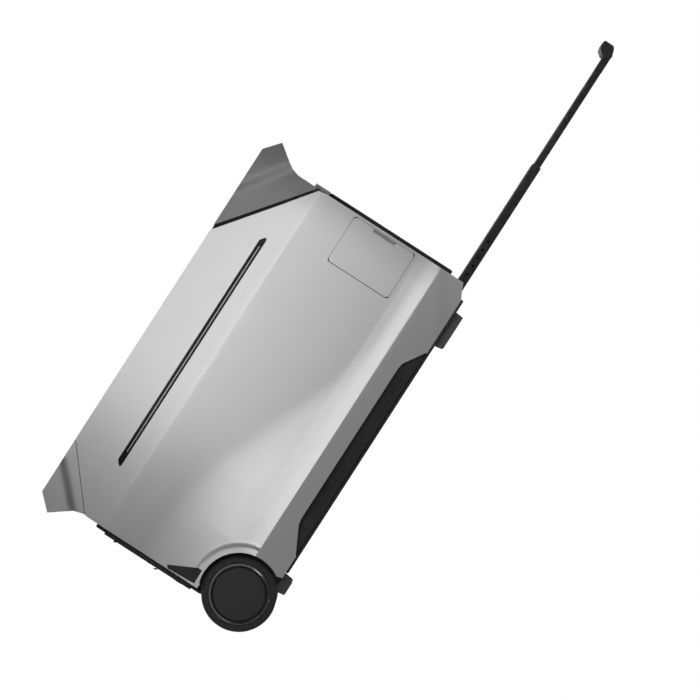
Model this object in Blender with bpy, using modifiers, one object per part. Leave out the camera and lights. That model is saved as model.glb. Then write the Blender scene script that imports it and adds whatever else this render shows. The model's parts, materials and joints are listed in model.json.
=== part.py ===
"""Wheeled portable power station with a two-stage pull handle, modelled in metres.

Row frame: +X runs from the wheels to the pull handle, +Y is the left side, +Z is up.
The origin is on the floor, midway along the object with its pull handle out.
Lengths below are millimetres, with x measured forward from the wheel axle and z up from the floor.
"""

import math

import bmesh
import bpy
from mathutils import Matrix, Vector

# ---------------------------------------------------------------- driving dimensions (mm)
AXLE_X = -451.95      # row-frame x of the wheel axle
TOP_Z = 375.4         # flat top of the housing
SKIRT_Z = 16.1        # lower edge of the side panels
WALL = 3.0            # side panel wall
GAP = 0.35            # running gap between neighbouring pieces
RIDGE_Z = 65.5        # widest line of the side panels
SHOULDER_Z = 271.0    # where the upper side starts to lean in

WHEEL_R = 54.4
WHEEL_Z = 56.0
WHEEL_IN_Y, WHEEL_OUT_Y = 106.5, 142.5
ARCH_R = 59.8
AXLE_R = 8.0

POLE_Y, POLE_Z = 62.0, 28.95          # centre line of each pull tube
OUTER_W, OUTER_H = 22.0, 14.1         # outer pull tube, across Y and Z
INNER_W, INNER_H = 17.6, 10.5         # inner pull tube
OUTER_X0, OUTER_X1 = 462.0, 752.0
INNER_X0, INNER_X1 = 652.0, 915.0
GRIP_HALF = 77.0

DOOR_X0, DOOR_X1 = 472.4, 548.9       # expansion port opening in the right side panel
DOOR_Z0, DOOR_Z1 = 106.8, 210.5
DOOR_PIVOT_X = 466.0
DOOR_PIVOT_Y = -125.15

# ---------------------------------------------------------------- scene set-up
for old in list(bpy.data.objects):
    bpy.data.objects.remove(old)
parts = bpy.data.collections.new("power_station")
cutters = bpy.data.collections.new("cutters")
bpy.context.scene.collection.children.link(parts)
bpy.context.scene.collection.children.link(cutters)

MATERIALS = {
    "silver_shell": ((0.60, 0.60, 0.61), 0.32, 0.85),
    "grey_shell": ((0.27, 0.27, 0.28), 0.36, 0.80),
    "black_plastic": ((0.025, 0.025, 0.027), 0.55, 0.0),
    "gloss_black": ((0.01, 0.01, 0.012), 0.12, 0.0),
    "rubber": ((0.02, 0.02, 0.02), 0.85, 0.0),
    "tyre": ((0.035, 0.035, 0.036), 0.75, 0.0),
    "rim": ((0.10, 0.10, 0.105), 0.30, 0.9),
    "steel": ((0.55, 0.55, 0.56), 0.30, 1.0),
    "pole": ((0.03, 0.03, 0.033), 0.38, 0.7),
    "cell_pack": ((0.12, 0.20, 0.30), 0.6, 0.0),
    "circuit": ((0.03, 0.16, 0.09), 0.5, 0.0),
    "button": ((0.10, 0.10, 0.11), 0.4, 0.0),
}


def material(name):
    found = bpy.data.materials.get(name)
    if found:
        return found
    colour, roughness, metallic = MATERIALS[name]
    made = bpy.data.materials.new(name)
    made.use_nodes = True
    shader = made.node_tree.nodes["Principled BSDF"]
    shader.inputs["Base Color"].default_value = (*colour, 1)
    shader.inputs["Roughness"].default_value = roughness
    shader.inputs["Metallic"].default_value = metallic
    return made


# ---------------------------------------------------------------- helpers
def m(x, y, z):
    """A point given in millimetres from the axle, as a row-frame vector in metres."""
    return Vector(((x + AXLE_X) / 1000, y / 1000, z / 1000))


def place(obj, finish=None):
    """Puts an object among the parts, or among the cutters when it has no finish."""
    for c in list(obj.users_collection):
        c.objects.unlink(obj)
    if finish:
        parts.objects.link(obj)
        obj.data.materials.clear()
        obj.data.materials.append(material(finish))
    else:
        cutters.objects.link(obj)
        obj.hide_render = True
        obj.display_type = "WIRE"
    return obj


def from_bmesh(name, bm):
    mesh = bpy.data.meshes.new(name)
    bm.to_mesh(mesh)
    bm.free()
    obj = bpy.data.objects.new(name, mesh)
    bpy.context.scene.collection.objects.link(obj)
    return obj


def bevel(obj, width, segments=1, angle=40):
    if width:
        mod = obj.modifiers.new("edges", "BEVEL")
        mod.width = width / 1000
        mod.segments = segments
        mod.limit_method = "ANGLE"
        mod.angle_limit = math.radians(angle)
    return obj


def box(name, x0, x1, y0, y1, z0, z1, finish=None, edge=0, segments=1):
    bm = bmesh.new()
    bmesh.ops.create_cube(bm, size=1, matrix=Matrix.Diagonal(((x1 - x0) / 1000, (y1 - y0) / 1000, (z1 - z0) / 1000, 1)))
    obj = from_bmesh(name, bm)
    obj.location = m((x0 + x1) / 2, (y0 + y1) / 2, (z0 + z1) / 2)
    return bevel(place(obj, finish), edge, segments)


def cylinder(name, centre, axis, radius, length, finish=None, sides=24, edge=0, segments=1, turn=0.0):
    bm = bmesh.new()
    bmesh.ops.create_cone(bm, cap_ends=True, segments=sides, radius1=radius / 1000, radius2=radius / 1000, depth=length / 1000)
    obj = from_bmesh(name, bm)
    obj.data.transform(Matrix.Rotation(turn, 4, "Z"))
    obj.data.transform(Vector((0, 0, 1)).rotation_difference(Vector(axis)).to_matrix().to_4x4())
    obj.location = m(*centre)
    obj.data.shade_smooth()
    obj.data.set_sharp_from_angle(angle=math.radians(35))
    return bevel(place(obj, finish), edge, segments)


def rounded(points, radius, steps=3):
    """The closed outline with each corner turned into an arc; radius is one number or one per point."""
    radii = radius if hasattr(radius, "__len__") else [radius] * len(points)
    out = []
    n = len(points)
    for i, r in enumerate(radii):
        p, a, b = Vector(points[i]), Vector(points[i - 1]), Vector(points[(i + 1) % n])
        if r <= 0:
            out.append(tuple(p))
            continue
        da, db = (a - p).normalized(), (b - p).normalized()
        half = da.angle(db) / 2
        cut = min(r / math.tan(half), 0.45 * (a - p).length, 0.45 * (b - p).length)
        r = cut * math.tan(half)
        centre = p + (da + db).normalized() * (r / math.sin(half))
        s, e = p + da * cut - centre, p + db * cut - centre
        total = s.angle(e)
        for k in range(steps + 1):
            f = k / steps
            q = (s * math.sin((1 - f) * total) + e * math.sin(f * total)) / math.sin(total)
            out.append(tuple(centre + q))
    return out


PLANES = {
    "XZ": Matrix(((1, 0, 0, 0), (0, 0, -1, 0), (0, 1, 0, 0), (0, 0, 0, 1))),
    "YZ": Matrix(((0, 0, 1, 0), (1, 0, 0, 0), (0, 1, 0, 0), (0, 0, 0, 1))),
    "XY": Matrix.Identity(4),
}


def outline(name, points, plane, lo, hi, finish=None, edge=0, segments=1, holes=()):
    """A flat outline in one of the row planes, extruded from lo to hi along the third axis."""
    curve = bpy.data.curves.new(name, "CURVE")
    curve.dimensions = "2D"
    curve.fill_mode = "BOTH"
    curve.extrude = (hi - lo) / 2000
    for loop in (points, *holes):
        spline = curve.splines.new("POLY")
        spline.points.add(len(loop) - 1)
        for point, (a, b) in zip(spline.points, loop):
            a = a + AXLE_X if plane != "YZ" else a
            point.co = (a / 1000, b / 1000, 0, 1)
        spline.use_cyclic_u = True
    flat = bpy.data.objects.new(name + "_outline", curve)
    bpy.context.scene.collection.objects.link(flat)
    mesh = bpy.data.meshes.new_from_object(flat)
    bpy.data.objects.remove(flat)
    bm = bmesh.new()
    bm.from_mesh(mesh)
    bmesh.ops.remove_doubles(bm, verts=bm.verts, dist=1e-6)
    if not holes:
        bmesh.ops.dissolve_limit(bm, angle_limit=0.001, verts=bm.verts, edges=bm.edges)
    mid = (lo + hi) / 2000
    shift = {"XZ": Vector((0, mid, 0)), "YZ": Vector((mid + AXLE_X / 1000, 0, 0)), "XY": Vector((0, 0, mid))}
    bm.transform(Matrix.Translation(shift[plane]) @ PLANES[plane])
    bmesh.ops.recalc_face_normals(bm, faces=bm.faces)
    if bm.calc_volume(signed=True) < 0:
        bmesh.ops.reverse_faces(bm, faces=bm.faces)
    bm.to_mesh(mesh)
    bm.free()
    mesh.name = name
    obj = bpy.data.objects.new(name, mesh)
    bpy.context.scene.collection.objects.link(obj)
    return bevel(place(obj, finish), edge, segments)


def turned(name, profile, centre, axis, finish, steps=48):
    """A profile of (radius, height) corners spun about an axis. Heights fall along the list's outer side."""
    bm = bmesh.new()
    verts = [bm.verts.new((r / 1000, 0, h / 1000)) for r, h in profile]
    for a, b in zip(verts, verts[1:] + verts[:1]):
        if a.co.x > 0 or b.co.x > 0:
            bm.edges.new((a, b))
    obj = from_bmesh(name, bm)
    obj.location = m(*centre)
    obj.rotation_euler = Vector((0, 0, 1)).rotation_difference(Vector(axis)).to_euler()
    spin = obj.modifiers.new("spin", "SCREW")
    spin.steps = spin.render_steps = steps
    spin.use_merge_vertices = True
    spin.merge_threshold = 0.00005
    spin.use_smooth_shade = True
    return place(obj, finish)


def boolean(obj, other, operation="DIFFERENCE"):
    mod = obj.modifiers.new(operation.lower() + "_" + other.name, "BOOLEAN")
    mod.operation = operation
    mod.object = other
    mod.solver = "EXACT"
    return obj


def joined_cutter(name, pieces):
    """Several separate cutters made one object, so that one Boolean cuts them all."""
    bm = bmesh.new()
    for piece in pieces:
        mesh = piece.data.copy()
        mesh.transform(piece.matrix_basis)
        bm.from_mesh(mesh)
        bpy.data.meshes.remove(mesh)
    for piece in pieces:
        bpy.data.objects.remove(piece)
    return place(from_bmesh(name, bm))


MIRRORED = []


def mirrored(obj, name, finish):
    """Asks for the same solid on the other side of the middle plane, as its own object."""
    MIRRORED.append((obj, name, finish))


# ---------------------------------------------------------------- the housing's outer form
def smooth(t):
    t = max(0.0, min(1.0, t))
    return t * t * (3 - 2 * t)


def between(value, stations):
    """Straight interpolation through (position, value) stations."""
    for (a, fa), (b, fb) in zip(stations, stations[1:]):
        if value <= b:
            return fa + (fb - fa) * max(0.0, (value - a) / (b - a))
    return stations[-1][1]


def past_line(x, z, a, b):
    """Signed distance of a point to the line from a to b, positive on its left."""
    dx, dz = b[0] - a[0], b[1] - a[1]
    return (dx * (z - a[1]) - dz * (x - a[0])) / math.hypot(dx, dz)


FRONT_CREASE = ((563.3, 331.5), (500.0, TOP_Z))
REAR_CREASE = ((24.8, TOP_Z), (-28.5, 324.3))
CORNER_CREASE = ((479.8, SKIRT_Z), (551.8, 62.2))


def half_width(x, z):
    """Half the housing's width at a point of its side view."""
    base = between(z, [(0, 122.0), (SKIRT_Z, 125.5), (60, 132.6), (RIDGE_Z, 133.2), (100, 132.0), (SHOULDER_Z, 131.0), (TOP_Z, 112.0)])
    bulge = between(x, [(-60, 6.5), (0, 7.4), (60, 8.2), (100, 7.6), (150, 6.5), (250, 3.2), (340, 1.0), (410, 0.0)])
    reach = between(x, [(-60, 208), (40, 204), (140, 190), (230, 155), (320, 115), (410, 95)])
    lip = 2.0
    if z >= RIDGE_Z:
        base += bulge * smooth(1 - (z - RIDGE_Z) / (reach - RIDGE_Z))
        base += lip * (1 - min(1.0, (z - RIDGE_Z) / 24)) ** 2
    else:
        base += (bulge + lip) * (0.35 + 0.65 * (z / RIDGE_Z) ** 2)
    if x < 230:
        base -= 15.0 * ((230 - x) / 255) ** 2 * (0.32 + 0.68 * smooth((z - 90) / 120))
    if x > 500:
        base -= 2.2 * ((x - 500) / 53) ** 2
    base += 3.4 * smooth((-past_line(x, z, *FRONT_CREASE) + 12) / 12)
    base -= 1.8 * smooth((-past_line(x, z, *REAR_CREASE) + 6) / 12)
    base -= 2.2 * smooth((-past_line(x, z, *CORNER_CREASE) + 6) / 12)
    return base


X_STATIONS = [-60, -26, 0, 30, 60, 95, 140, 185, 230, 320, 410, 490, 520, 540, 553, 568, 590]
Z_STATIONS = [SKIRT_Z, 40, 58, RIDGE_Z, 73, 90, 110, 132, 155, 180, 208, SHOULDER_Z, 305, 335, 352, TOP_Z]


def envelope(name, inset=0.0, top=0.0):
    """The whole housing as one closed solid, its sides and top moved in by the given amounts."""
    nx, nz = len(X_STATIONS) - 1, len(Z_STATIONS) - 1
    bm = bmesh.new()
    bmesh.ops.create_grid(bm, x_segments=nx, y_segments=nz, size=0.5)
    for v in bm.verts:
        x = X_STATIONS[round((v.co.x + 0.5) * nx)]
        z = Z_STATIONS[round((v.co.y + 0.5) * nz)]
        z_out = z if z < TOP_Z else TOP_Z - top
        v.co = Vector(((x + AXLE_X) / 1000, -(half_width(x, z_out) - inset) / 1000, z_out / 1000))
    rim = [e for e in bm.edges if e.is_boundary]
    made = bmesh.ops.extrude_edge_only(bm, edges=rim)
    for v in (g for g in made["geom"] if isinstance(g, bmesh.types.BMVert)):
        v.co.y = 0
    bmesh.ops.recalc_face_normals(bm, faces=bm.faces)
    if sum(f.normal.y * f.calc_area() for f in bm.faces if abs(f.normal.y) > 0.5) > 0:
        bmesh.ops.reverse_faces(bm, faces=bm.faces)
    obj = from_bmesh(name, bm)
    mirror = obj.modifiers.new("both sides", "MIRROR")
    mirror.use_axis = (False, True, False)
    mirror.merge_threshold = 0.0001
    return place(obj)


form = envelope("form")
form_in = envelope("form_inner", WALL, 3.6)
form_core = envelope("form_core", WALL + GAP, 4.0)
form_sunk = envelope("form_sunk", 1.2, 1.2)
form_deep = envelope("form_deep", 5.0, 5.0)

# ---------------------------------------------------------------- side panels
arch = [(ARCH_R * math.cos(math.radians(a)), WHEEL_Z + ARCH_R * math.sin(math.radians(a))) for a in range(-32, 107, 6)]
SIDE = [
    (60.3, TOP_Z + 8), (60.3, TOP_Z), (-24.9, 304.4), (-25.6, 300.0), (-25.6, 111.4), (-19.0, 111.4),
    *reversed(arch),
    (54.5, SKIRT_Z - 4), (84.0, SKIRT_Z - 4), (93.0, 18.5), (131.0, 38.0), (140.0, 39.5), (397.0, 39.5), (406.5, 38.0), (437.0, 18.5),
    (441.0, SKIRT_Z - 4), (528.0, SKIRT_Z - 4), (530.5, 17.0), (539.0, 21.6), (552.5, 27.4), (552.5, 262.0), (549.6, 273.6), (418.6, TOP_Z), (418.6, TOP_Z + 8),
]
TRIM = [(58.6, 299.2), (455.2, 299.2), (445.0, 307.4), (69.0, 307.4)]
DOOR = [(DOOR_X0, DOOR_Z0), (DOOR_X1, DOOR_Z0), (DOOR_X1, DOOR_Z1), (DOOR_X0, DOOR_Z1)]
CORNER_VENT = [(-20.6, 165.5), (-0.6, 126.0), (-0.6, 119.6), (-21.8, 119.0), (-24.2, 162.5)]


def grown(points, by):
    """A convex outline moved outward by a distance, or inward if it is negative."""
    n = len(points)
    area = sum(points[i][0] * points[(i + 1) % n][1] - points[(i + 1) % n][0] * points[i][1] for i in range(n))
    out = []
    for i in range(n):
        p, a, b = Vector(points[i]), Vector(points[i - 1]), Vector(points[(i + 1) % n])
        d1, d2 = (p - a).normalized(), (b - p).normalized()
        n1, n2 = Vector((d1.y, -d1.x)), Vector((d2.y, -d2.x))
        if area < 0:
            n1, n2 = -n1, -n2
        out.append(tuple(p + (n1 + n2) * (by / (1 + n1.dot(n2)))))
    return out


def side_panel(name, with_door):
    panel = outline(name, SIDE, "XZ", -150, -104, "silver_shell")
    boolean(panel, form, "INTERSECT")
    boolean(panel, form_in)
    holes = [outline("slot_" + name, grown(TRIM, 0.4), "XZ", -150, -100), outline("vent_" + name, grown(CORNER_VENT, 0.4), "XZ", -150, -100)]
    if with_door:
        holes.append(outline("door_way_" + name, rounded(DOOR, 4.0, 4), "XZ", -150, -100))
    return boolean(panel, joined_cutter("ways_" + name, holes))


def skin(name, points, finish, outer, inner, lo=-150, hi=-100):
    """A piece of the housing's skin, cut out by an outline of the side view."""
    piece = outline(name, points, "XZ", lo, hi, finish)
    boolean(piece, outer, "INTERSECT")
    return boolean(piece, inner)


side_right = side_panel("side_panel_right", True)
side_blank = place(side_panel("side_blank", False))
mirrored(side_blank, "side_panel_left", "silver_shell")

trim_right = skin("trim_strip_right", TRIM, "gloss_black", form_sunk, form_deep)
mirrored(trim_right, "trim_strip_left", "gloss_black")
corner_right = skin("corner_vent_right", CORNER_VENT, "black_plastic", form_sunk, form_in)
mirrored(corner_right, "corner_vent_left", "black_plastic")

# ---------------------------------------------------------------- lid, gasket and lifting handles
box("top_cover", 60.7, 418.2, -103.6, 103.6, TOP_Z - 4, TOP_Z, "silver_shell", edge=0.8)

FRONT_HORN = [(427.2, TOP_Z), (557.6, TOP_Z), (580.6, 356.0), (563.3, 332.9), (556.8, 322.8), (553.2, 311.3), (552.8, 285.0), (552.8, 277.1)]
REAR_HORN = [(59.0, TOP_Z), (-30.0, TOP_Z), (-52.0, 352.4), (-29.2, 322.1), (-25.6, 309.9), (-24.9, 305.6)]
front_slot = outline("front_slot", rounded([(524, 395), (553, 395), (553, 348), (563, 338), (600, 316), (600, 300), (548, 300), (524, 318)], 4, 2), "XZ", -58, 58)
rear_slot = outline("rear_slot", rounded([(3, 395), (-23, 395), (-23, 349), (-32, 339), (-70, 318), (-70, 300), (-24, 316), (3, 334)], 4, 2), "XZ", -58, 58)

front_void = outline("front_void", [(430, 371.6), (518, 371.6), (518, 312), (546, 295), (548.5, 284), (548.5, 262), (500, 262), (400, 371.6)], "XZ", -140, 140)
boolean(front_void, form_in, "INTERSECT")
front_handle = outline("front_handle", FRONT_HORN, "XZ", -150, 150, "grey_shell")
boolean(front_handle, form, "INTERSECT")
boolean(front_handle, front_void)
boolean(front_handle, front_slot)

rear_void = outline("rear_void", [(8, 371.6), (70, 371.6), (70, 366), (8, 318)], "XZ", -140, 140)
boolean(rear_void, form_in, "INTERSECT")
rear_handle = outline("rear_handle", REAR_HORN, "XZ", -150, 150, "silver_shell")
boolean(rear_handle, form, "INTERSECT")
boolean(rear_handle, rear_void)
boolean(rear_handle, rear_slot)

# The gasket fills the joint between the side panels and the front handle, and crosses the top between them.
gasket = outline("handle_gasket", [(419.2, TOP_Z), (426.6, TOP_Z), (552.2, 277.0), (552.2, 274.4), (549.9, 274.2)], "XZ", -150, 150, "rubber")
boolean(gasket, form_sunk, "INTERSECT")
boolean(gasket, form_deep)

# ---------------------------------------------------------------- base tray, liners and feet
tray = outline("base_tray", [(-20, -101), (62.5, -101), (62.5, -112.5), (545, -112.5), (545, 112.5), (62.5, 112.5), (62.5, 101), (-20, 101)], "XY", 17.0, 64.0, "black_plastic")
rear_box = box("tray_rear", -20, 74, -101, 101, 17.0, 98.0)
flange = outline("tray_flange", [(62.5, -118), (180, -122.5), (530, -122.5), (530, 122.5), (180, 122.5), (62.5, 118)], "XY", 12.3, 15.75)
hollow = outline("tray_hollow", [(-16, -97), (66.5, -97), (66.5, -108.5), (541, -108.5), (541, 108.5), (66.5, 108.5), (66.5, 97), (-16, 97)], "XY", 18.8, 110)
flange_lip = box("tray_lip", 62.5, 530, -113, 113, 14.6, 18.0)
boolean(flange, flange_lip, "UNION")
boolean(tray, rear_box, "UNION")
boolean(tray, flange, "UNION")
boolean(tray, hollow)
boolean(tray, joined_cutter("axle_bosses", [cylinder(f"axle_boss_{s}", (0, s * 96.0, WHEEL_Z), (0, 1, 0), 14.5, 14, sides=24) for s in (-1, 1)]), "UNION")
boolean(tray, outline("tray_bevel", [(530.4, 17.2), (544.9, 17.2), (544.9, 27.4), (541.5, 27.4), (530.4, 21.2)], "XZ", -112.4, 112.4), "UNION")
boolean(tray, outline("tray_wedge", [(530.5, 10), (550, 10), (550, 26.3), (539, 21.6), (530.5, 17.0)], "XZ", -130, 130))
LOUVRE_X0, LOUVRE_X1 = 92.0, 438.0
LOUVRE = [(LOUVRE_X0, 17.2), (131.0, 40.6), (140.0, 43.0), (397.0, 43.0), (406.5, 40.6), (LOUVRE_X1, 17.2)]
vent_plates = joined_cutter("vent_plates", [outline("plate_right", LOUVRE, "XZ", -117.5, -111.0), outline("plate_left", LOUVRE, "XZ", 111.0, 117.5)])
boolean(tray, vent_plates, "UNION")
boolean(tray, joined_cutter("louvre_slots", [
    box(f"louvre_slot_{s}_{z0}", 150, 386, s * 117.3 - 1.7, s * 117.3 + 1.7, z0, z1) for z0, z1 in ((20.5, 26.4), (28.8, 37.6)) for s in (-1, 1)
]))
boolean(tray, joined_cutter("tray_ways", [
    cylinder("axle_way", (0, 0, WHEEL_Z), (0, 1, 0), AXLE_R + GAP, 260, sides=28),
    box("guide_way_right", 530, 560, -POLE_Y - 14.2, -POLE_Y + 14.2, 18.6, 39.4),
    box("guide_way_left", 530, 560, POLE_Y - 14.2, POLE_Y + 14.2, 18.6, 39.4),
]))

liner_angles = range(-24, 113, 8)
liner_points = [(63.8 * math.cos(math.radians(a)), WHEEL_Z + 63.8 * math.sin(math.radians(a))) for a in liner_angles]
liner_points += [(60.9 * math.cos(math.radians(a)), WHEEL_Z + 60.9 * math.sin(math.radians(a))) for a in reversed(liner_angles)]
liner = outline("wheel_liner_right", liner_points, "XZ", -127.0, -101.4, "black_plastic")
well = [(63.0 * math.cos(math.radians(a)), WHEEL_Z + 63.0 * math.sin(math.radians(a))) for a in liner_angles]
boolean(liner, outline("liner_wall", [(18.0, WHEEL_Z - 9.0), *well, (-24.0, 76.0), (-14.0, 72.0)], "XZ", -104.2, -101.4), "UNION")
boolean(liner, cylinder("liner_axle_way", (0, -103, WHEEL_Z), (0, 1, 0), 15.0, 8, sides=24))
boolean(liner, form_core, "INTERSECT")
boolean(liner, box("liner_trim", 61.5, 80, -130, -100, 0, 70))
mirrored(liner, "wheel_liner_left", "black_plastic")

FRONT_FOOT = [(455.6, 0), (509.4, 0), (510.8, 11.9), (453.8, 11.9)]
for side, y in (("right", -91.0), ("left", 91.0)):
    outline(f"front_foot_{side}", rounded(FRONT_FOOT, [1.5, 1.5, 0, 0], 2), "XZ", y - 22, y + 22, "rubber")
    outline(f"rear_foot_{side}", rounded([(33.0, 0), (55.0, 0), (57.2, 16.6), (30.5, 16.6)], [1.5, 1.5, 0, 0], 2), "XZ", y * 0.88 - 18, y * 0.88 + 18, "rubber")

# ---------------------------------------------------------------- end frames and panels
front_frame = box("front_frame", 546.6, 552.2, -140, 140, 27.8, 273.6, "grey_shell")
boolean(front_frame, form_core, "INTERSECT")
# The frame's upper band stands forward of the panel, under the lip of the lifting handle.
boolean(front_frame, box("frame_step", 550.0, 556.0, -96, 96, 258.9, 273.2), "UNION")
boolean(front_frame, box("frame_band", 553.2, 558.3, -96.5, 96.5, 258.6, 283.0), "UNION")
boolean(front_frame, box("pocket_way", 545, 549.4, -140, -123.2, 134.0, 182.0))
FRONT_FACE = [(-104, 49), (104, 49), (104, 214), (90, 258), (-90, 258), (-104, 214)]
REAR_FACE = [(-98, 102), (98, 102), (98, 236), (84, 283), (-84, 283), (-98, 236)]
boolean(front_frame, joined_cutter("front_ways", [
    outline("front_way", rounded(grown(FRONT_FACE, 0.4), 8), "YZ", 540, 565),
    box("pole_way_right", 540, 560, -POLE_Y - 11.6, -POLE_Y + 11.6, POLE_Z - 7.6, POLE_Z + 7.6),
    box("pole_way_left", 540, 560, POLE_Y - 11.6, POLE_Y + 11.6, POLE_Z - 7.6, POLE_Z + 7.6),
]))
front_panel = outline("front_panel", rounded(FRONT_FACE, 8), "YZ", 550.0, 558.3, "black_plastic", edge=1.6)
SCREEN = [(-60, 196), (60, 196), (60, 244), (-60, 244)]
AC_PLATE = [(-95, 58), (95, 58), (95, 140), (-95, 140)]
DC_PLATE = [(-95, 148), (36, 148), (36, 186), (-95, 186)]
CAR_Y, CAR_Z = 68.0, 167.0
BUTTONS = {"power_button": (80.0, 222.0, 9.0), "dc_button": (-80.0, 208.0, 6.5), "ac_button": (-80.0, 230.0, 6.5)}
boolean(front_panel, joined_cutter("panel_ways", [
    outline("screen_way", rounded(grown(SCREEN, GAP), 4), "YZ", 545, 565),
    outline("ac_way", rounded(grown(AC_PLATE, GAP), 6), "YZ", 545, 565),
    outline("dc_way", rounded(grown(DC_PLATE, GAP), 5), "YZ", 545, 565),
    cylinder("car_way", (555, CAR_Y, CAR_Z), (1, 0, 0), 14.6, 30, sides=24),
    *[cylinder(n + "_way", (555, y, z), (1, 0, 0), r + 0.45, 30, sides=24) for n, (y, z, r) in BUTTONS.items()],
]))
outline("display_window", rounded(SCREEN, 4), "YZ", 553.0, 558.0, "gloss_black", edge=0.5)
for n, (y, z, r) in BUTTONS.items():
    cylinder(n, (555.5, y, z), (1, 0, 0), r, 6.0, "button", sides=24, edge=0.7)

ac_plate = outline("ac_socket_plate", rounded(AC_PLATE, 6), "YZ", 546.9, 557.3, "black_plastic")
slots = []
for k, (y, z) in enumerate([(-66, 79), (-22, 79), (-66, 119), (-22, 119), (22, 119), (66, 119)]):
    slots.append(box(f"slot_l_{k}", 551, 560, y - 7.1, y - 5.3, z - 2, z + 7))
    slots.append(box(f"slot_r_{k}", 551, 560, y + 5.3, y + 7.1, z - 1.2, z + 6.2))
    slots.append(cylinder(f"slot_g_{k}", (555.5, y, z - 7), (1, 0, 0), 2.6, 9, sides=8))
slots.append(cylinder("large_socket", (557, 44, 79), (1, 0, 0), 16.5, 4, sides=28))
boolean(ac_plate, joined_cutter("ac_slots", slots))
dc_plate = outline("dc_socket_plate", rounded(DC_PLATE, 5), "YZ", 546.9, 557.3, "black_plastic")
slots = [box(f"usb_{k}", 550, 560, y - 4.6, y + 4.6, z - 1.6, z + 1.6) for k, (y, z) in enumerate([(-80, 176), (-80, 159), (-56, 176), (-56, 159)])]
slots += [box(f"usb_a_{k}", 550, 560, y - 6.8, y + 6.8, z - 3, z + 3) for k, (y, z) in enumerate([(-30, 176), (-30, 159)])]
slots += [cylinder(f"barrel_{k}", (555.5, 2, z), (1, 0, 0), 3.4, 9, sides=12) for k, z in enumerate((158, 176))]
slots.append(box("aux", 550, 560, 14, 29, 160.5, 173.5))
boolean(dc_plate, joined_cutter("dc_slots", slots))
turned("car_socket", [(14.2, 0), (14.2, -34), (0.0, -34), (0.0, -31), (10.5, -31), (10.5, 0)], (554.9, CAR_Y, CAR_Z), (1, 0, 0), "black_plastic", 24)
cap = cylinder("car_socket_cap", (556.9, CAR_Y, CAR_Z), (1, 0, 0), 14.1, 3.2, "rubber", sides=24, edge=0.8)
boolean(cap, outline("cap_finger_dip", rounded([(CAR_Y - 8, CAR_Z - 12), (CAR_Y + 8, CAR_Z - 12), (CAR_Y + 8, CAR_Z - 7), (CAR_Y - 8, CAR_Z - 7)], 2), "YZ", 557.0, 560.0))

rear_frame = box("rear_frame", -25.3, -20.4, -140, 140, 101.5, 304.0, "silver_shell")
boolean(rear_frame, form_core, "INTERSECT")
boolean(rear_frame, box("rear_way", -40, 0, -86, 86, 112, 273))
boolean(rear_frame, joined_cutter("frame_wheel_ways", [
    cylinder("wheel_way_right", (0, -122, WHEEL_Z), (0, 1, 0), 64.6, 45, sides=32),
    cylinder("wheel_way_left", (0, 122, WHEEL_Z), (0, 1, 0), 64.6, 45, sides=32),
]))
rear_panel = outline("rear_panel", rounded(REAR_FACE, 8), "YZ", -31.4, -25.7, "black_plastic", edge=1.2)
boolean(rear_panel, outline("rear_raised", rounded([(-92, 119), (92, 119), (92, 232), (80, 267), (-80, 267), (-92, 232)], 8), "YZ", -34.0, -29.0), "UNION")
boolean(rear_panel, outline("rear_inner", [(-84, 114), (84, 114), (84, 271), (-84, 271)], "YZ", -27.0, -12.0), "UNION")
CAPS = {"link_port_cap": (-30, 30, 246, 264), "mains_inlet_cap": (18, 76, 188, 232), "solar_port_cap": (-76, -18, 175.5, 219.5)}
RESETS = {"breaker_button_right": -36.0, "breaker_button_left": 36.0}
rear_cuts = []
for n, (y0, y1, z0, z1) in CAPS.items():
    rear_cuts.append(box(n + "_seat", -40, -31.2, y0 - GAP, y1 + GAP, z0 - GAP - 1.0, z1 + GAP))
rear_cuts += [cylinder(n + "_hole", (-30, y, 140), (1, 0, 0), 6.9, 30, sides=20) for n, y in RESETS.items()]
rear_cuts.append(box("switch_seat", -40, -28.0, -11, 11, 135.5, 144.5))
boolean(rear_panel, joined_cutter("rear_ways", rear_cuts))
boolean(rear_panel, joined_cutter("rear_ports", [box(n + "_port", -40, -16.0, y0 + 8, y1 - 8, z0 + 4, z1 - 4) for n, (y0, y1, z0, z1) in CAPS.items()]))
for n, (y0, y1, z0, z1) in CAPS.items():
    lid = box(n, -33.9, -31.6, y0, y1, z0, z1, "rubber")
    boolean(lid, box(n + "_plug", -32.0, -28.6, y0 + 9.5, y1 - 9.5, z0 + 5.5, z1 - 7.5), "UNION")
    middle = (y0 + y1) / 2
    lip = [(-33.0, z0 - 0.9), (-36.2, z0 - 0.9), (-38.2, z0 + 1.6), (-38.2, z0 + 4.4), (-37.0, z0 + 4.4), (-36.4, z0 + 2.0), (-35.2, z0 + 0.6), (-33.0, z0 + 0.6)]
    boolean(lid, outline(n + "_lip", lip, "XZ", middle - 9, middle + 9), "UNION")
for n, y in RESETS.items():
    cylinder(n, (-31.8, y, 140), (1, 0, 0), 6.4, 8.4, "button", sides=20, edge=0.6)
switch = box("charge_rate_switch", -33.4, -28.4, -6, 1, 136.2, 143.8, "button")
boolean(switch, box("switch_rib", -34.6, -33.0, -4.2, -0.8, 136.8, 143.2), "UNION")

# ---------------------------------------------------------------- expansion port door and bay
door_shell = outline("port_door", rounded(grown(DOOR, -0.5), 6.4, 4), "XZ", -150, -100, "silver_shell")
boolean(door_shell, form, "INTERSECT")
boolean(door_shell, form_in)
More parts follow.
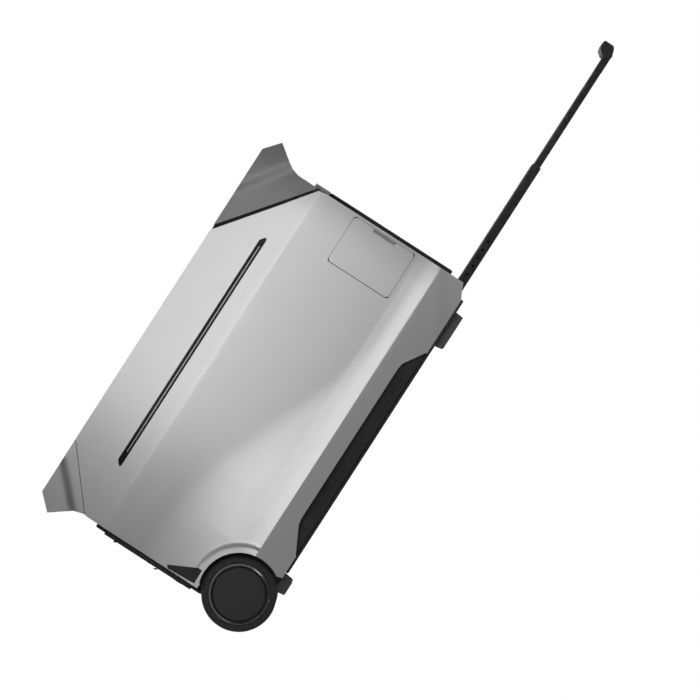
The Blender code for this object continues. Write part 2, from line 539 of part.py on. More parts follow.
# The hinge edge is cut back and slopes, so that it clears the opening as the door swings.
boolean(door_shell, outline("door_edge", [(470, -150), (473.4, -150), (473.4, -131.2), (476.4, -127), (476.4, -120), (470, -120)], "XY", 100, 220))
boolean(door_shell, box("finger_slot", 542.8, 547.2, -140, -100, 138.5, 177.4))
pocket = box("finger_pocket", 541.4, 548.3, -129.2, -124.0, 137.0, 178.9)
boolean(pocket, box("finger_hollow", 542.8, 547.2, -140, -125.6, 138.5, 177.4))
boolean(door_shell, pocket, "UNION")
HOOK_Z0, HOOK_Z1 = 149.0, 168.0
px, py = DOOR_PIVOT_X, DOOR_PIVOT_Y
# A gooseneck: it passes behind the edge of the opening, so the door swings clear of the side panel.
hook = outline("door_hook", [(px - 2.6, py + 0.2), (px + 2.6, py + 0.2), (px + 2.6, py + 7.3), (px + 10.4, py + 7.3), (px + 10.4, py - 4.3), (px + 13.4, py - 4.3), (px + 13.4, py + 9.9), (px - 2.6, py + 9.9)], "XY", HOOK_Z0, HOOK_Z1)
boolean(hook, cylinder("knuckle", (px, py, (HOOK_Z0 + HOOK_Z1) / 2), (0, 0, 1), 2.9, HOOK_Z1 - HOOK_Z0, sides=20), "UNION")
boolean(hook, cylinder("pin_way", (px, py, 158), (0, 0, 1), 1.75, 40, sides=16))
boolean(door_shell, hook, "UNION")
cylinder("door_hinge_pin", (px, py, (HOOK_Z0 + HOOK_Z1) / 2), (0, 0, 1), 1.4, 37.0, "steel", sides=16)

bay = box("port_bay", 455.0, 545.6, -140, -92.0, 101.0, 217.0, "black_plastic")
boolean(bay, form_core, "INTERSECT")
boolean(bay, box("bay_hollow", 458.0, 543.0, -150, -95.0, 103.5, 214.5))
boolean(bay, box("bay_notch", 540.8, 547.0, -150, -123.2, 134.0, 182.0))
lugs = joined_cutter("bay_lugs", [box("lug_low", 456.5, px + 3.0, py - 3.0, py + 3.0, 139.5, 148.4), box("lug_high", 456.5, px + 3.0, py - 3.0, py + 3.0, 168.6, 177.5)])
boolean(bay, lugs, "UNION")
boolean(bay, cylinder("lug_way", (px, py, 158), (0, 0, 1), 1.75, 60, sides=16))
sockets = joined_cutter("bay_sockets", [box("socket_low", 478, 530, -104, -94, 110, 152), box("socket_high", 478, 530, -104, -94, 164, 206)])
boolean(bay, sockets, "UNION")
boolean(bay, joined_cutter("bay_socket_ways", [box("socket_way_low", 484, 524, -110, -99, 116, 146), box("socket_way_high", 484, 524, -110, -99, 170, 200)]))

# ---------------------------------------------------------------- wheels and axle
cylinder("axle", (0, 0, WHEEL_Z), (0, 1, 0), AXLE_R, 262, "steel", sides=28, edge=0.8)
for side, s in (("right", -1), ("left", 1)):
    w = WHEEL_OUT_Y - WHEEL_IN_Y
    tyre = [(47.0, w), (51.6, w - 1.4), (WHEEL_R, w - 5.5), (WHEEL_R, 5.5), (51.6, 1.4), (47.0, 0.4), (44.2, 0.4), (44.2, w - 1.2)]
    rim = [(38.8, w - 4.6), (40.6, w - 4.0), (43.6, w - 1.2), (43.9, w - 1.8), (43.9, 1.2), (40.0, 1.2), (36.0, 9.0), (14.0, 9.0), (14.0, 0.8), (8.4, 0.8), (8.4, w - 9.0), (38.8, w - 9.0)]
    hub = [(38.3, w - 1.6), (38.3, w - 8.6), (16.0, w - 8.6), (16.0, w - 4.0), (0, w - 4.0), (0, w - 0.8), (37.3, w - 0.8)]
    turned(f"tyre_{side}", tyre, (0, s * WHEEL_IN_Y, WHEEL_Z), (0, s, 0), "tyre", 48)
    turned(f"rim_{side}", rim, (0, s * WHEEL_IN_Y, WHEEL_Z), (0, s, 0), "rim", 40)
    turned(f"hub_cap_{side}", hub, (0, s * WHEEL_IN_Y, WHEEL_Z), (0, s, 0), "black_plastic", 40)

# ---------------------------------------------------------------- pull handle
def tube(name, x0, x1, y, width, height, wall, finish, holes=()):
    outer = [(y - width / 2, POLE_Z - height / 2), (y + width / 2, POLE_Z - height / 2), (y + width / 2, POLE_Z + height / 2), (y - width / 2, POLE_Z + height / 2)]
    made = outline(name, rounded(outer, 2.7, 3), "YZ", x0, x1, finish, holes=[rounded(grown(outer, -wall), 1.8, 2)])
    if holes:
        side = -1 if y < 0 else 1
        boolean(made, joined_cutter(name + "_holes", [cylinder(f"{name}_hole_{k}", (x, y + side * width / 2, POLE_Z), (0, 1, 0), 1.8, 6.4, sides=10, turn=0.2) for k, x in enumerate(holes)]))
    return made


for side, s in (("right", -1), ("left", 1)):
    y = s * POLE_Y
    guide = [(y - 13.6, 19.2), (y + 13.6, 19.2), (y + 13.6, 38.8), (y - 13.6, 38.8)]
    ways = [(y - 11.4, POLE_Z - 7.4), (y + 11.4, POLE_Z - 7.4), (y + 11.4, POLE_Z + 7.4), (y - 11.4, POLE_Z + 7.4)]
    outline(f"pole_guide_{side}", guide, "YZ", 230.0, 534.0, "black_plastic", holes=[ways])
    tube(f"outer_tube_{side}", OUTER_X0, OUTER_X1, y, OUTER_W, OUTER_H, 1.5, "pole", holes=[566.6 + 13.8 * k for k in range(5)])
    tube(f"inner_tube_{side}", INNER_X0, INNER_X1, y, INNER_W, INNER_H, 1.4, "pole")
GRIP = [(937.4, 28.4), (939.1, 37.7), (944.9, 44.2), (950.6, 45.6), (956.8, 45.4), (958.3, 43.6), (958.3, 29.8), (954.9, 26.9), (943.4, 22.9), (938.6, 24.6)]
grip = outline("grip", GRIP, "XZ", -GRIP_HALF, GRIP_HALF, "black_plastic", edge=1.2)
boolean(grip, joined_cutter("grip_necks", [box(f"grip_neck_{s}", 915.4, 942.0, s * POLE_Y - 9.4, s * POLE_Y + 9.4, POLE_Z - 5.5, POLE_Z + 5.2) for s in (-1, 1)]), "UNION")
boolean(grip, box("button_seat", 951.5, 970, -18.5, 18.5, 32.5, 41.5))
box("grip_button", 955.6, 958.2, -18.1, 18.1, 32.9, 41.1, "button", edge=0.6)

# ---------------------------------------------------------------- what it holds inside
box("battery_pack", 80, 392, -106, 106, 70, 208, "cell_pack", edge=3)
inverter = box("inverter_module", 92, 392, -92, 92, 232, 246, "circuit")
boolean(inverter, joined_cutter("heat_sinks", [box("sink_left", 110, 370, 30, 80, 240, 292), box("sink_right", 110, 370, -80, -30, 240, 292)]), "UNION")
bulkhead = box("fan_bulkhead", 402, 408, -104, 104, 68, 210, "black_plastic")
FANS = {"right": -50.0, "left": 50.0}
boolean(bulkhead, joined_cutter("fan_ways", [cylinder(f"fan_way_{side}", (405, y, 140), (1, 0, 0), 42.5, 20, sides=32) for side, y in FANS.items()]))
boolean(bulkhead, joined_cutter("fan_mounts", [box(f"fan_spider_{side}_{k}", 396.5, 403.0, y - (44 if k else 2), y + (44 if k else 2), 140 - (2 if k else 44), 140 + (2 if k else 44)) for side, y in FANS.items() for k in (0, 1)]), "UNION")
for side, y in FANS.items():
    rotor = cylinder(f"fan_rotor_{side}", (413.5, y, 140), (1, 0, 0), 15, 18, "black_plastic", sides=21)
    blades = []
    for k in range(7):
        blade = box(f"blade_{side}_{k}", 406.0, 420.5, y - 1.0, y + 1.0, 152.0, 180.0)
        blade.data.transform(Matrix.Rotation(math.radians(24), 4, "Z"))
        blade.matrix_world = Matrix.Translation(m(413.5, y, 140)) @ Matrix.Rotation(math.radians(360 / 7 * k), 4, "X") @ Matrix.Translation(m(413.5, y, 140)).inverted() @ Matrix.Translation(blade.location)
        blades.append(blade)
    boolean(rotor, joined_cutter(f"blades_{side}", blades), "UNION")

# ---------------------------------------------------------------- the pieces that mirror another
bpy.context.view_layer.update()
depsgraph = bpy.context.evaluated_depsgraph_get()
for obj, name, finish in MIRRORED:
    mesh = bpy.data.meshes.new_from_object(obj.evaluated_get(depsgraph))
    mesh.transform(Matrix.Scale(-1, 4, Vector((0, 1, 0))) @ obj.matrix_basis)
    mesh.flip_normals()
    other = bpy.data.objects.new(name, mesh)
    bpy.context.scene.collection.objects.link(other)
    place(other, finish)
bpy.data.objects.remove(side_blank)
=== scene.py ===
"""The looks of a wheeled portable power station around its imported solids: finer surfaces, finishes, light and camera.

Lengths are millimetres measured forward from the wheel axle and up from the floor; the row frame is in metres.
"""

import json
import math

import bmesh
import bpy
from mathutils import Matrix, Vector

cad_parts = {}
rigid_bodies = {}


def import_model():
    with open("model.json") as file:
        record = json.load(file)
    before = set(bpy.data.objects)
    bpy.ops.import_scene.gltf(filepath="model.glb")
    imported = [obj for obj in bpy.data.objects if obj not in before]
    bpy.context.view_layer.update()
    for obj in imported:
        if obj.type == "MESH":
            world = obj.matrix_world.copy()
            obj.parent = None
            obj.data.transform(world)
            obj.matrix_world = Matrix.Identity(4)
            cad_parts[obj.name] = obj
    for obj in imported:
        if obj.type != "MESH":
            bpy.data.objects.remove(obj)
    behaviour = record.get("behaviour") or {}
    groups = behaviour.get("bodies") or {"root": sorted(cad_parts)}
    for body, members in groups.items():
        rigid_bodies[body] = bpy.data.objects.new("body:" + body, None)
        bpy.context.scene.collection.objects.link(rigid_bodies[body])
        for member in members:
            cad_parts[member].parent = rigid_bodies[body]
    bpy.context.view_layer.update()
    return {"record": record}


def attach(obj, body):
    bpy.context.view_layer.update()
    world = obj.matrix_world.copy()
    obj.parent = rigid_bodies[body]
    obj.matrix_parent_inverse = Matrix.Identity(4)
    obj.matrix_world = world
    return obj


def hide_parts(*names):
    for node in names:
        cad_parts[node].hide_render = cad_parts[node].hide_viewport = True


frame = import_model()

PIECES = {}
parts = bpy.data.collections.new("looks")
cutters = bpy.data.collections.new("cutters")
bpy.context.scene.collection.children.link(parts)
bpy.context.scene.collection.children.link(cutters)

# ---------------------------------------------------------------- driving dimensions (mm)
AXLE_X = -451.95      # row-frame x of the wheel axle
TOP_Z = 375.4         # flat top of the housing
SKIRT_Z = 16.1        # lower edge of the side panels
WALL = 3.0            # side panel wall
GAP = 0.35            # running gap between neighbouring pieces
RIDGE_Z = 65.5        # widest line of the side panels
SHOULDER_Z = 271.0    # where the upper side starts to lean in

WHEEL_R = 54.4
WHEEL_Z = 56.0
WHEEL_IN_Y, WHEEL_OUT_Y = 106.5, 142.5
ARCH_R = 59.8
AXLE_R = 8.0

POLE_Y, POLE_Z = 62.0, 28.95          # centre line of each pull tube
OUTER_W, OUTER_H = 22.0, 14.1         # outer pull tube, across Y and Z
INNER_W, INNER_H = 17.6, 10.5         # inner pull tube
OUTER_X0, OUTER_X1 = 462.0, 752.0
INNER_X0, INNER_X1 = 652.0, 915.0
GRIP_HALF = 77.0

DOOR_X0, DOOR_X1 = 472.4, 548.9       # expansion port opening in the right side panel
DOOR_Z0, DOOR_Z1 = 106.8, 210.5
DOOR_PIVOT_X = 466.0
DOOR_PIVOT_Y = -125.15

# ---------------------------------------------------------------- finishes
def build(name, base, roughness, metallic, grain=(900.0, 0.05, 0.03), blotch=(6.0, 0.05), bump=(1500.0, 0.03, 0.0001), edge=0.10, rough_var=0.06, coat=0.0, coat_rough=0.1, streak=None, spec=0.5):
    """A finish from layered noise: grain and blotches in the colour, uneven gloss, worn edges and a fine bump."""
    mat = bpy.data.materials.new("look_" + name)
    mat.use_nodes = True
    tree = mat.node_tree
    n, l = tree.nodes, tree.links
    shader = n["Principled BSDF"]
    shader.inputs["Metallic"].default_value = metallic
    shader.inputs["Coat Weight"].default_value = coat
    shader.inputs["Coat Roughness"].default_value = coat_rough
    shader.inputs["Specular IOR Level"].default_value = spec
    coord = n.new("ShaderNodeTexCoord")

    def noise(scale, detail=4.0, rough=0.6, stretch=None):
        source = coord.outputs["Object"]
        if stretch:
            mapping = n.new("ShaderNodeMapping")
            mapping.inputs["Scale"].default_value = stretch
            l.new(source, mapping.inputs["Vector"])
            source = mapping.outputs["Vector"]
        tex = n.new("ShaderNodeTexNoise")
        tex.inputs["Scale"].default_value = scale
        tex.inputs["Detail"].default_value = detail
        tex.inputs["Roughness"].default_value = rough
        l.new(source, tex.inputs["Vector"])
        return tex.outputs["Fac"]

    def span(value, lo, hi, from_lo=0.25, from_hi=0.75):
        node = n.new("ShaderNodeMapRange")
        node.inputs["From Min"].default_value = from_lo
        node.inputs["From Max"].default_value = from_hi
        node.inputs["To Min"].default_value = lo
        node.inputs["To Max"].default_value = hi
        l.new(value, node.inputs["Value"])
        return node.outputs["Result"]

    def maths(op, a, b):
        node = n.new("ShaderNodeMath")
        node.operation = op
        for socket, value in zip(node.inputs, (a, b)):
            if isinstance(value, (int, float)):
                socket.default_value = value
            else:
                l.new(value, socket)
        return node.outputs[0]

    fine = noise(grain[0], 2.0, 0.7, streak)
    wide = noise(blotch[0], 3.0, 0.55)
    shade = maths("MULTIPLY", span(fine, 1 - grain[1], 1 + grain[1]), span(wide, 1 - blotch[1], 1 + blotch[1]))
    tint = n.new("ShaderNodeMix")
    tint.data_type = "RGBA"
    tint.blend_type = "MULTIPLY"
    tint.inputs["Factor"].default_value = 1.0
    tint.inputs["A"].default_value = (*base, 1)
    combine = n.new("ShaderNodeCombineColor")
    for socket in combine.inputs:
        l.new(shade, socket)
    l.new(combine.outputs["Color"], tint.inputs["B"])
    geometry = n.new("ShaderNodeNewGeometry")
    worn = span(geometry.outputs["Pointiness"], 0.0, 1.0, 0.515, 0.60)
    broken = maths("MULTIPLY", worn, span(noise(140.0, 3.0), 0.0, 1.0, 0.4, 0.6))
    wear = n.new("ShaderNodeMix")
    wear.data_type = "RGBA"
    l.new(maths("MULTIPLY", broken, edge), wear.inputs["Factor"])
    l.new(tint.outputs["Result"], wear.inputs["A"])
    wear.inputs["B"].default_value = (*(min(1.0, c * 1.6 + 0.08) for c in base), 1)
    l.new(wear.outputs["Result"], shader.inputs["Base Color"])
    uneven = maths("ADD", span(wide, roughness - rough_var, roughness + rough_var), span(noise(60.0), -rough_var / 2, rough_var / 2))
    l.new(uneven, shader.inputs["Roughness"])
    relief = n.new("ShaderNodeBump")
    relief.inputs["Strength"].default_value = bump[1]
    relief.inputs["Distance"].default_value = bump[2]
    l.new(noise(bump[0], 3.0, 0.6, streak), relief.inputs["Height"])
    l.new(relief.outputs["Normal"], shader.inputs["Normal"])
    return mat


FINISHES = {
    "silver_shell": dict(base=(0.60, 0.60, 0.605), roughness=0.31, metallic=0.9, grain=(2600, 0.045, 0), blotch=(4, 0.02), bump=(2600, 0.10, 0.00004), rough_var=0.02, coat=0.12, coat_rough=0.22, edge=0.25),
    "grey_shell": dict(base=(0.235, 0.235, 0.24), roughness=0.40, metallic=0.80, grain=(2600, 0.06, 0), blotch=(5, 0.03), bump=(2600, 0.10, 0.00004), rough_var=0.03, coat=0.1, coat_rough=0.25, edge=0.3),
    "black_plastic": dict(base=(0.016, 0.016, 0.017), roughness=0.52, metallic=0.0, grain=(700, 0.15, 0), blotch=(9, 0.12), bump=(1400, 0.35, 0.00008), rough_var=0.07, edge=0.35),
    "gloss_black": dict(base=(0.004, 0.004, 0.0045), roughness=0.16, metallic=0.0, grain=(400, 0.1, 0), blotch=(12, 0.1), bump=(300, 0.02, 0.00002), rough_var=0.03, edge=0.1, spec=0.2),
    "rubber": dict(base=(0.016, 0.016, 0.016), roughness=0.80, metallic=0.0, grain=(500, 0.2, 0), blotch=(14, 0.2), bump=(900, 0.45, 0.00012), rough_var=0.08, edge=0.5, spec=0.35),
    "tyre": dict(base=(0.028, 0.028, 0.029), roughness=0.66, metallic=0.0, grain=(600, 0.2, 0), blotch=(9, 0.08), bump=(1000, 0.4, 0.0001), rough_var=0.05, edge=0.3, spec=0.4),
    # foot: a lighter grey than the other rubber, raised further as painted light to make up for the shade the feet sit
    # in under the housing
    "foot": dict(base=(0.11, 0.11, 0.112), roughness=0.62, metallic=0.0, grain=(600, 0.15, 0), blotch=(10, 0.1), bump=(1000, 0.4, 0.0001), rough_var=0.06, edge=0.4, spec=0.4),
    "rim": dict(base=(0.22, 0.22, 0.225), roughness=0.24, metallic=0.9, grain=(800, 0.05, 0), blotch=(12, 0.06), bump=(900, 0.03, 0.00003), rough_var=0.03, edge=0.3),
    "steel": dict(base=(0.52, 0.52, 0.53), roughness=0.30, metallic=1.0, grain=(300, 0.08, 0), blotch=(20, 0.06), bump=(600, 0.1, 0.00004), rough_var=0.06, streak=(1.0, 0.05, 1.0)),
    "pole": dict(base=(0.022, 0.022, 0.024), roughness=0.36, metallic=0.55, grain=(500, 0.12, 0), blotch=(10, 0.08), bump=(900, 0.1, 0.00004), rough_var=0.05, streak=(0.03, 1.0, 1.0), edge=0.5),
    "cell_pack": dict(base=(0.10, 0.17, 0.26), roughness=0.6, metallic=0.0),
    "circuit": dict(base=(0.03, 0.15, 0.08), roughness=0.5, metallic=0.0, grain=(300, 0.3, 0)),
    "button": dict(base=(0.075, 0.075, 0.08), roughness=0.42, metallic=0.0, grain=(600, 0.1, 0), bump=(1200, 0.2, 0.00005), edge=0.3),
    "hub": dict(base=(0.020, 0.020, 0.021), roughness=0.46, metallic=0.0, grain=(900, 0.14, 0), blotch=(18, 0.12), bump=(1500, 0.35, 0.00006), rough_var=0.06, edge=0.3),
    "trim_line": dict(base=(0.45, 0.45, 0.46), roughness=0.25, metallic=0.9, grain=(900, 0.05, 0), blotch=(10, 0.04)),
    "screen": dict(base=(0.004, 0.005, 0.007), roughness=0.07, metallic=0.0, grain=(300, 0.1, 0), blotch=(20, 0.15), bump=(200, 0.01, 0.00002), rough_var=0.02, coat=0.6, coat_rough=0.03, edge=0.1),
}
LOOKS = {}


def material(name):
    if name not in LOOKS:
        LOOKS[name] = build(name, **FINISHES[name])
    return LOOKS[name]


# ---------------------------------------------------------------- helpers
def m(x, y, z):
    """A point given in millimetres from the axle, as a row-frame vector in metres."""
    return Vector(((x + AXLE_X) / 1000, y / 1000, z / 1000))


def place(obj, finish=None):
    """Puts an object among the parts, or among the cutters when it has no finish."""
    for c in list(obj.users_collection):
        c.objects.unlink(obj)
    if finish:
        parts.objects.link(obj)
        obj.data.materials.clear()
        obj.data.materials.append(material(finish))
        PIECES[obj.name.split(".")[0]] = (obj, finish)
    else:
        cutters.objects.link(obj)
        obj.hide_render = True
        obj.display_type = "WIRE"
    return obj


def from_bmesh(name, bm):
    mesh = bpy.data.meshes.new(name)
    bm.to_mesh(mesh)
    bm.free()
    obj = bpy.data.objects.new(name, mesh)
    bpy.context.scene.collection.objects.link(obj)
    return obj


def bevel(obj, width, segments=1, angle=40):
    if width:
        mod = obj.modifiers.new("edges", "BEVEL")
        mod.width = width / 1000
        mod.segments = segments
        mod.limit_method = "ANGLE"
        mod.angle_limit = math.radians(angle)
    return obj


def box(name, x0, x1, y0, y1, z0, z1, finish=None, edge=0, segments=1):
    bm = bmesh.new()
    bmesh.ops.create_cube(bm, size=1, matrix=Matrix.Diagonal(((x1 - x0) / 1000, (y1 - y0) / 1000, (z1 - z0) / 1000, 1)))
    obj = from_bmesh(name, bm)
    obj.location = m((x0 + x1) / 2, (y0 + y1) / 2, (z0 + z1) / 2)
    return bevel(place(obj, finish), edge, segments)


def cylinder(name, centre, axis, radius, length, finish=None, sides=24, edge=0, segments=2, turn=0.0):
    sides = sides * 2 if sides >= 20 else sides
    bm = bmesh.new()
    bmesh.ops.create_cone(bm, cap_ends=True, segments=sides, radius1=radius / 1000, radius2=radius / 1000, depth=length / 1000)
    obj = from_bmesh(name, bm)
    obj.data.transform(Matrix.Rotation(turn, 4, "Z"))
    obj.data.transform(Vector((0, 0, 1)).rotation_difference(Vector(axis)).to_matrix().to_4x4())
    obj.location = m(*centre)
    obj.data.shade_smooth()
    obj.data.set_sharp_from_angle(angle=math.radians(35))
    return bevel(place(obj, finish), edge, segments)


def rounded(points, radius, steps=3):
    """The closed outline with each corner turned into an arc; radius is one number or one per point."""
    radii = radius if hasattr(radius, "__len__") else [radius] * len(points)
    out = []
    n = len(points)
    for i, r in enumerate(radii):
        p, a, b = Vector(points[i]), Vector(points[i - 1]), Vector(points[(i + 1) % n])
        if r <= 0:
            out.append(tuple(p))
            continue
        da, db = (a - p).normalized(), (b - p).normalized()
        half = da.angle(db) / 2
        cut = min(r / math.tan(half), 0.45 * (a - p).length, 0.45 * (b - p).length)
        r = cut * math.tan(half)
        centre = p + (da + db).normalized() * (r / math.sin(half))
        s, e = p + da * cut - centre, p + db * cut - centre
        total = s.angle(e)
        for k in range(steps + 1):
            f = k / steps
            q = (s * math.sin((1 - f) * total) + e * math.sin(f * total)) / math.sin(total)
            out.append(tuple(centre + q))
    return out


PLANES = {
    "XZ": Matrix(((1, 0, 0, 0), (0, 0, -1, 0), (0, 1, 0, 0), (0, 0, 0, 1))),
    "YZ": Matrix(((0, 0, 1, 0), (1, 0, 0, 0), (0, 1, 0, 0), (0, 0, 0, 1))),
    "XY": Matrix.Identity(4),
}


def outline(name, points, plane, lo, hi, finish=None, edge=0, segments=1, holes=()):
    """A flat outline in one of the row planes, extruded from lo to hi along the third axis."""
    curve = bpy.data.curves.new(name, "CURVE")
    curve.dimensions = "2D"
    curve.fill_mode = "BOTH"
    curve.extrude = (hi - lo) / 2000
    for loop in (points, *holes):
        spline = curve.splines.new("POLY")
        spline.points.add(len(loop) - 1)
        for point, (a, b) in zip(spline.points, loop):
            a = a + AXLE_X if plane != "YZ" else a
            point.co = (a / 1000, b / 1000, 0, 1)
        spline.use_cyclic_u = True
    flat = bpy.data.objects.new(name + "_outline", curve)
    bpy.context.scene.collection.objects.link(flat)
    mesh = bpy.data.meshes.new_from_object(flat)
    bpy.data.objects.remove(flat)
    bm = bmesh.new()
    bm.from_mesh(mesh)
    bmesh.ops.remove_doubles(bm, verts=bm.verts, dist=1e-6)
    if not holes:
        bmesh.ops.dissolve_limit(bm, angle_limit=0.001, verts=bm.verts, edges=bm.edges)
    mid = (lo + hi) / 2000
    shift = {"XZ": Vector((0, mid, 0)), "YZ": Vector((mid + AXLE_X / 1000, 0, 0)), "XY": Vector((0, 0, mid))}
    bm.transform(Matrix.Translation(shift[plane]) @ PLANES[plane])
    bmesh.ops.recalc_face_normals(bm, faces=bm.faces)
    if bm.calc_volume(signed=True) < 0:
        bmesh.ops.reverse_faces(bm, faces=bm.faces)
    bm.to_mesh(mesh)
    bm.free()
    mesh.name = name
    obj = bpy.data.objects.new(name, mesh)
    bpy.context.scene.collection.objects.link(obj)
    return bevel(place(obj, finish), edge, segments)


def turned(name, profile, centre, axis, finish, steps=48):
    """A profile of (radius, height) corners spun about an axis. Heights fall along the list's outer side."""
    bm = bmesh.new()
    verts = [bm.verts.new((r / 1000, 0, h / 1000)) for r, h in profile]
    for a, b in zip(verts, verts[1:] + verts[:1]):
        if a.co.x > 0 or b.co.x > 0:
            bm.edges.new((a, b))
    obj = from_bmesh(name, bm)
    obj.location = m(*centre)
    obj.rotation_euler = Vector((0, 0, 1)).rotation_difference(Vector(axis)).to_euler()
    spin = obj.modifiers.new("spin", "SCREW")
    spin.steps = spin.render_steps = steps * 2
    spin.use_merge_vertices = True
    spin.merge_threshold = 0.00005
    spin.use_smooth_shade = True
    return place(obj, finish)


def boolean(obj, other, operation="DIFFERENCE"):
    mod = obj.modifiers.new(operation.lower() + "_" + other.name, "BOOLEAN")
    mod.operation = operation
    mod.object = other
    mod.solver = "EXACT"
    return obj


def joined_cutter(name, pieces):
    """Several separate cutters made one object, so that one Boolean cuts them all."""
    bm = bmesh.new()
    for piece in pieces:
        mesh = piece.data.copy()
        mesh.transform(piece.matrix_basis)
        bm.from_mesh(mesh)
        bpy.data.meshes.remove(mesh)
    for piece in pieces:
        bpy.data.objects.remove(piece)
    return place(from_bmesh(name, bm))


MIRRORED = []


def mirrored(obj, name, finish):
    """Asks for the same solid on the other side of the middle plane, as its own object."""
    MIRRORED.append((obj, name, finish))


# ---------------------------------------------------------------- the housing's outer form
def smooth(t):
    t = max(0.0, min(1.0, t))
    return t * t * (3 - 2 * t)


def between(value, stations):
    """Straight interpolation through (position, value) stations."""
    for (a, fa), (b, fb) in zip(stations, stations[1:]):
        if value <= b:
            return fa + (fb - fa) * max(0.0, (value - a) / (b - a))
    return stations[-1][1]


def past_line(x, z, a, b):
    """Signed distance of a point to the line from a to b, positive on its left."""
    dx, dz = b[0] - a[0], b[1] - a[1]
    return (dx * (z - a[1]) - dz * (x - a[0])) / math.hypot(dx, dz)


FRONT_CREASE = ((563.3, 331.5), (500.0, TOP_Z))
REAR_CREASE = ((24.8, TOP_Z), (-28.5, 324.3))
CORNER_CREASE = ((479.8, SKIRT_Z), (551.8, 62.2))


def half_width(x, z):
    """Half the housing's width at a point of its side view."""
    base = between(z, [(0, 122.0), (SKIRT_Z, 125.5), (60, 132.6), (RIDGE_Z, 133.2), (100, 132.0), (SHOULDER_Z, 131.0), (TOP_Z, 112.0)])
    bulge = between(x, [(-60, 6.5), (0, 7.4), (60, 8.2), (100, 7.6), (150, 6.5), (250, 3.2), (340, 1.0), (410, 0.0)])
    reach = between(x, [(-60, 208), (40, 204), (140, 190), (230, 155), (320, 115), (410, 95)])
    lip = 2.0
    if z >= RIDGE_Z:
        base += bulge * smooth(1 - (z - RIDGE_Z) / (reach - RIDGE_Z))
        base += lip * (1 - min(1.0, (z - RIDGE_Z) / 24)) ** 2
    else:
        base += (bulge + lip) * (0.35 + 0.65 * (z / RIDGE_Z) ** 2)
    if x < 230:
        base -= 15.0 * ((230 - x) / 255) ** 2 * (0.32 + 0.68 * smooth((z - 90) / 120))
    if x > 500:
        base -= 2.2 * ((x - 500) / 53) ** 2
    base += 3.4 * smooth((-past_line(x, z, *FRONT_CREASE) + 12) / 12)
    base -= 1.8 * smooth((-past_line(x, z, *REAR_CREASE) + 6) / 12)
    base -= 2.2 * smooth((-past_line(x, z, *CORNER_CREASE) + 6) / 12)
    # the wheel arch's rolled lip
    r = math.hypot(x, z - WHEEL_Z)
    if r < 71.7:
        base -= 0.9 * min(1.0, (71.7 - r) / 1.6)
    elif r < 76:
        base += 0.35 * (76 - r) / 4.3
    return base


X_STATIONS = [-60, -44] + [-30 + 2.4 * k for k in range(50)] + [90 + 7.25 * k for k in range(61)] + [532.5, 540, 546, 553, 560, 568, 578, 590]
X_STATIONS = sorted(set(round(v, 3) for v in X_STATIONS))
Z_STATIONS = [SKIRT_Z] + [18.5 + 2.6 * k for k in range(18)] + [RIDGE_Z - 0.5, RIDGE_Z + 0.5] + [68 + 2.6 * k for k in range(26)] + [139 + 6.6 * k for k in range(20)]
Z_STATIONS += [SHOULDER_Z - 1.2, SHOULDER_Z + 1.2] + [277 + 5.0 * k for k in range(20)] + [TOP_Z - 1.2, TOP_Z]
Z_STATIONS = sorted(set(round(v, 3) for v in Z_STATIONS))
COARSE_X = [-60, -26, 0, 24, 48, 72, 110, 160, 230, 320, 400, 450, 490, 520, 540, 553, 568, 590]
COARSE_Z = [SKIRT_Z, 40, 58, RIDGE_Z, 73, 84, 100, 128, 165, 205, SHOULDER_Z, 305, 335, 352, TOP_Z]


def envelope(name, inset=0.0, top=0.0, fine=False):
    """The whole housing as one closed solid, its sides and top moved in by the given amounts."""
    xs, zs = (X_STATIONS, Z_STATIONS) if fine else (COARSE_X, COARSE_Z)
    nx, nz = len(xs) - 1, len(zs) - 1
    bm = bmesh.new()
    bmesh.ops.create_grid(bm, x_segments=nx, y_segments=nz, size=0.5)
    for v in bm.verts:
        x = xs[round((v.co.x + 0.5) * nx)]
        z = zs[round((v.co.y + 0.5) * nz)]
        z_out = z if z < TOP_Z else TOP_Z - top
        v.co = Vector(((x + AXLE_X) / 1000, -(half_width(x, z_out) - inset) / 1000, z_out / 1000))
    rim = [e for e in bm.edges if e.is_boundary]
    made = bmesh.ops.extrude_edge_only(bm, edges=rim)
    for v in (g for g in made["geom"] if isinstance(g, bmesh.types.BMVert)):
        v.co.y = 0
    bmesh.ops.recalc_face_normals(bm, faces=bm.faces)
    if sum(f.normal.y * f.calc_area() for f in bm.faces if abs(f.normal.y) > 0.5) > 0:
        bmesh.ops.reverse_faces(bm, faces=bm.faces)
    obj = from_bmesh(name, bm)
    mirror = obj.modifiers.new("both sides", "MIRROR")
    mirror.use_axis = (False, True, False)
    mirror.merge_threshold = 0.0001
    return place(obj)


form = envelope("form", fine=True)
form_in = envelope("form_inner", WALL, 3.6)
form_core = envelope("form_core", WALL + GAP, 4.0)
form_sunk = envelope("form_sunk", 1.2, 1.2, fine=True)
form_deep = envelope("form_deep", 5.0, 5.0)

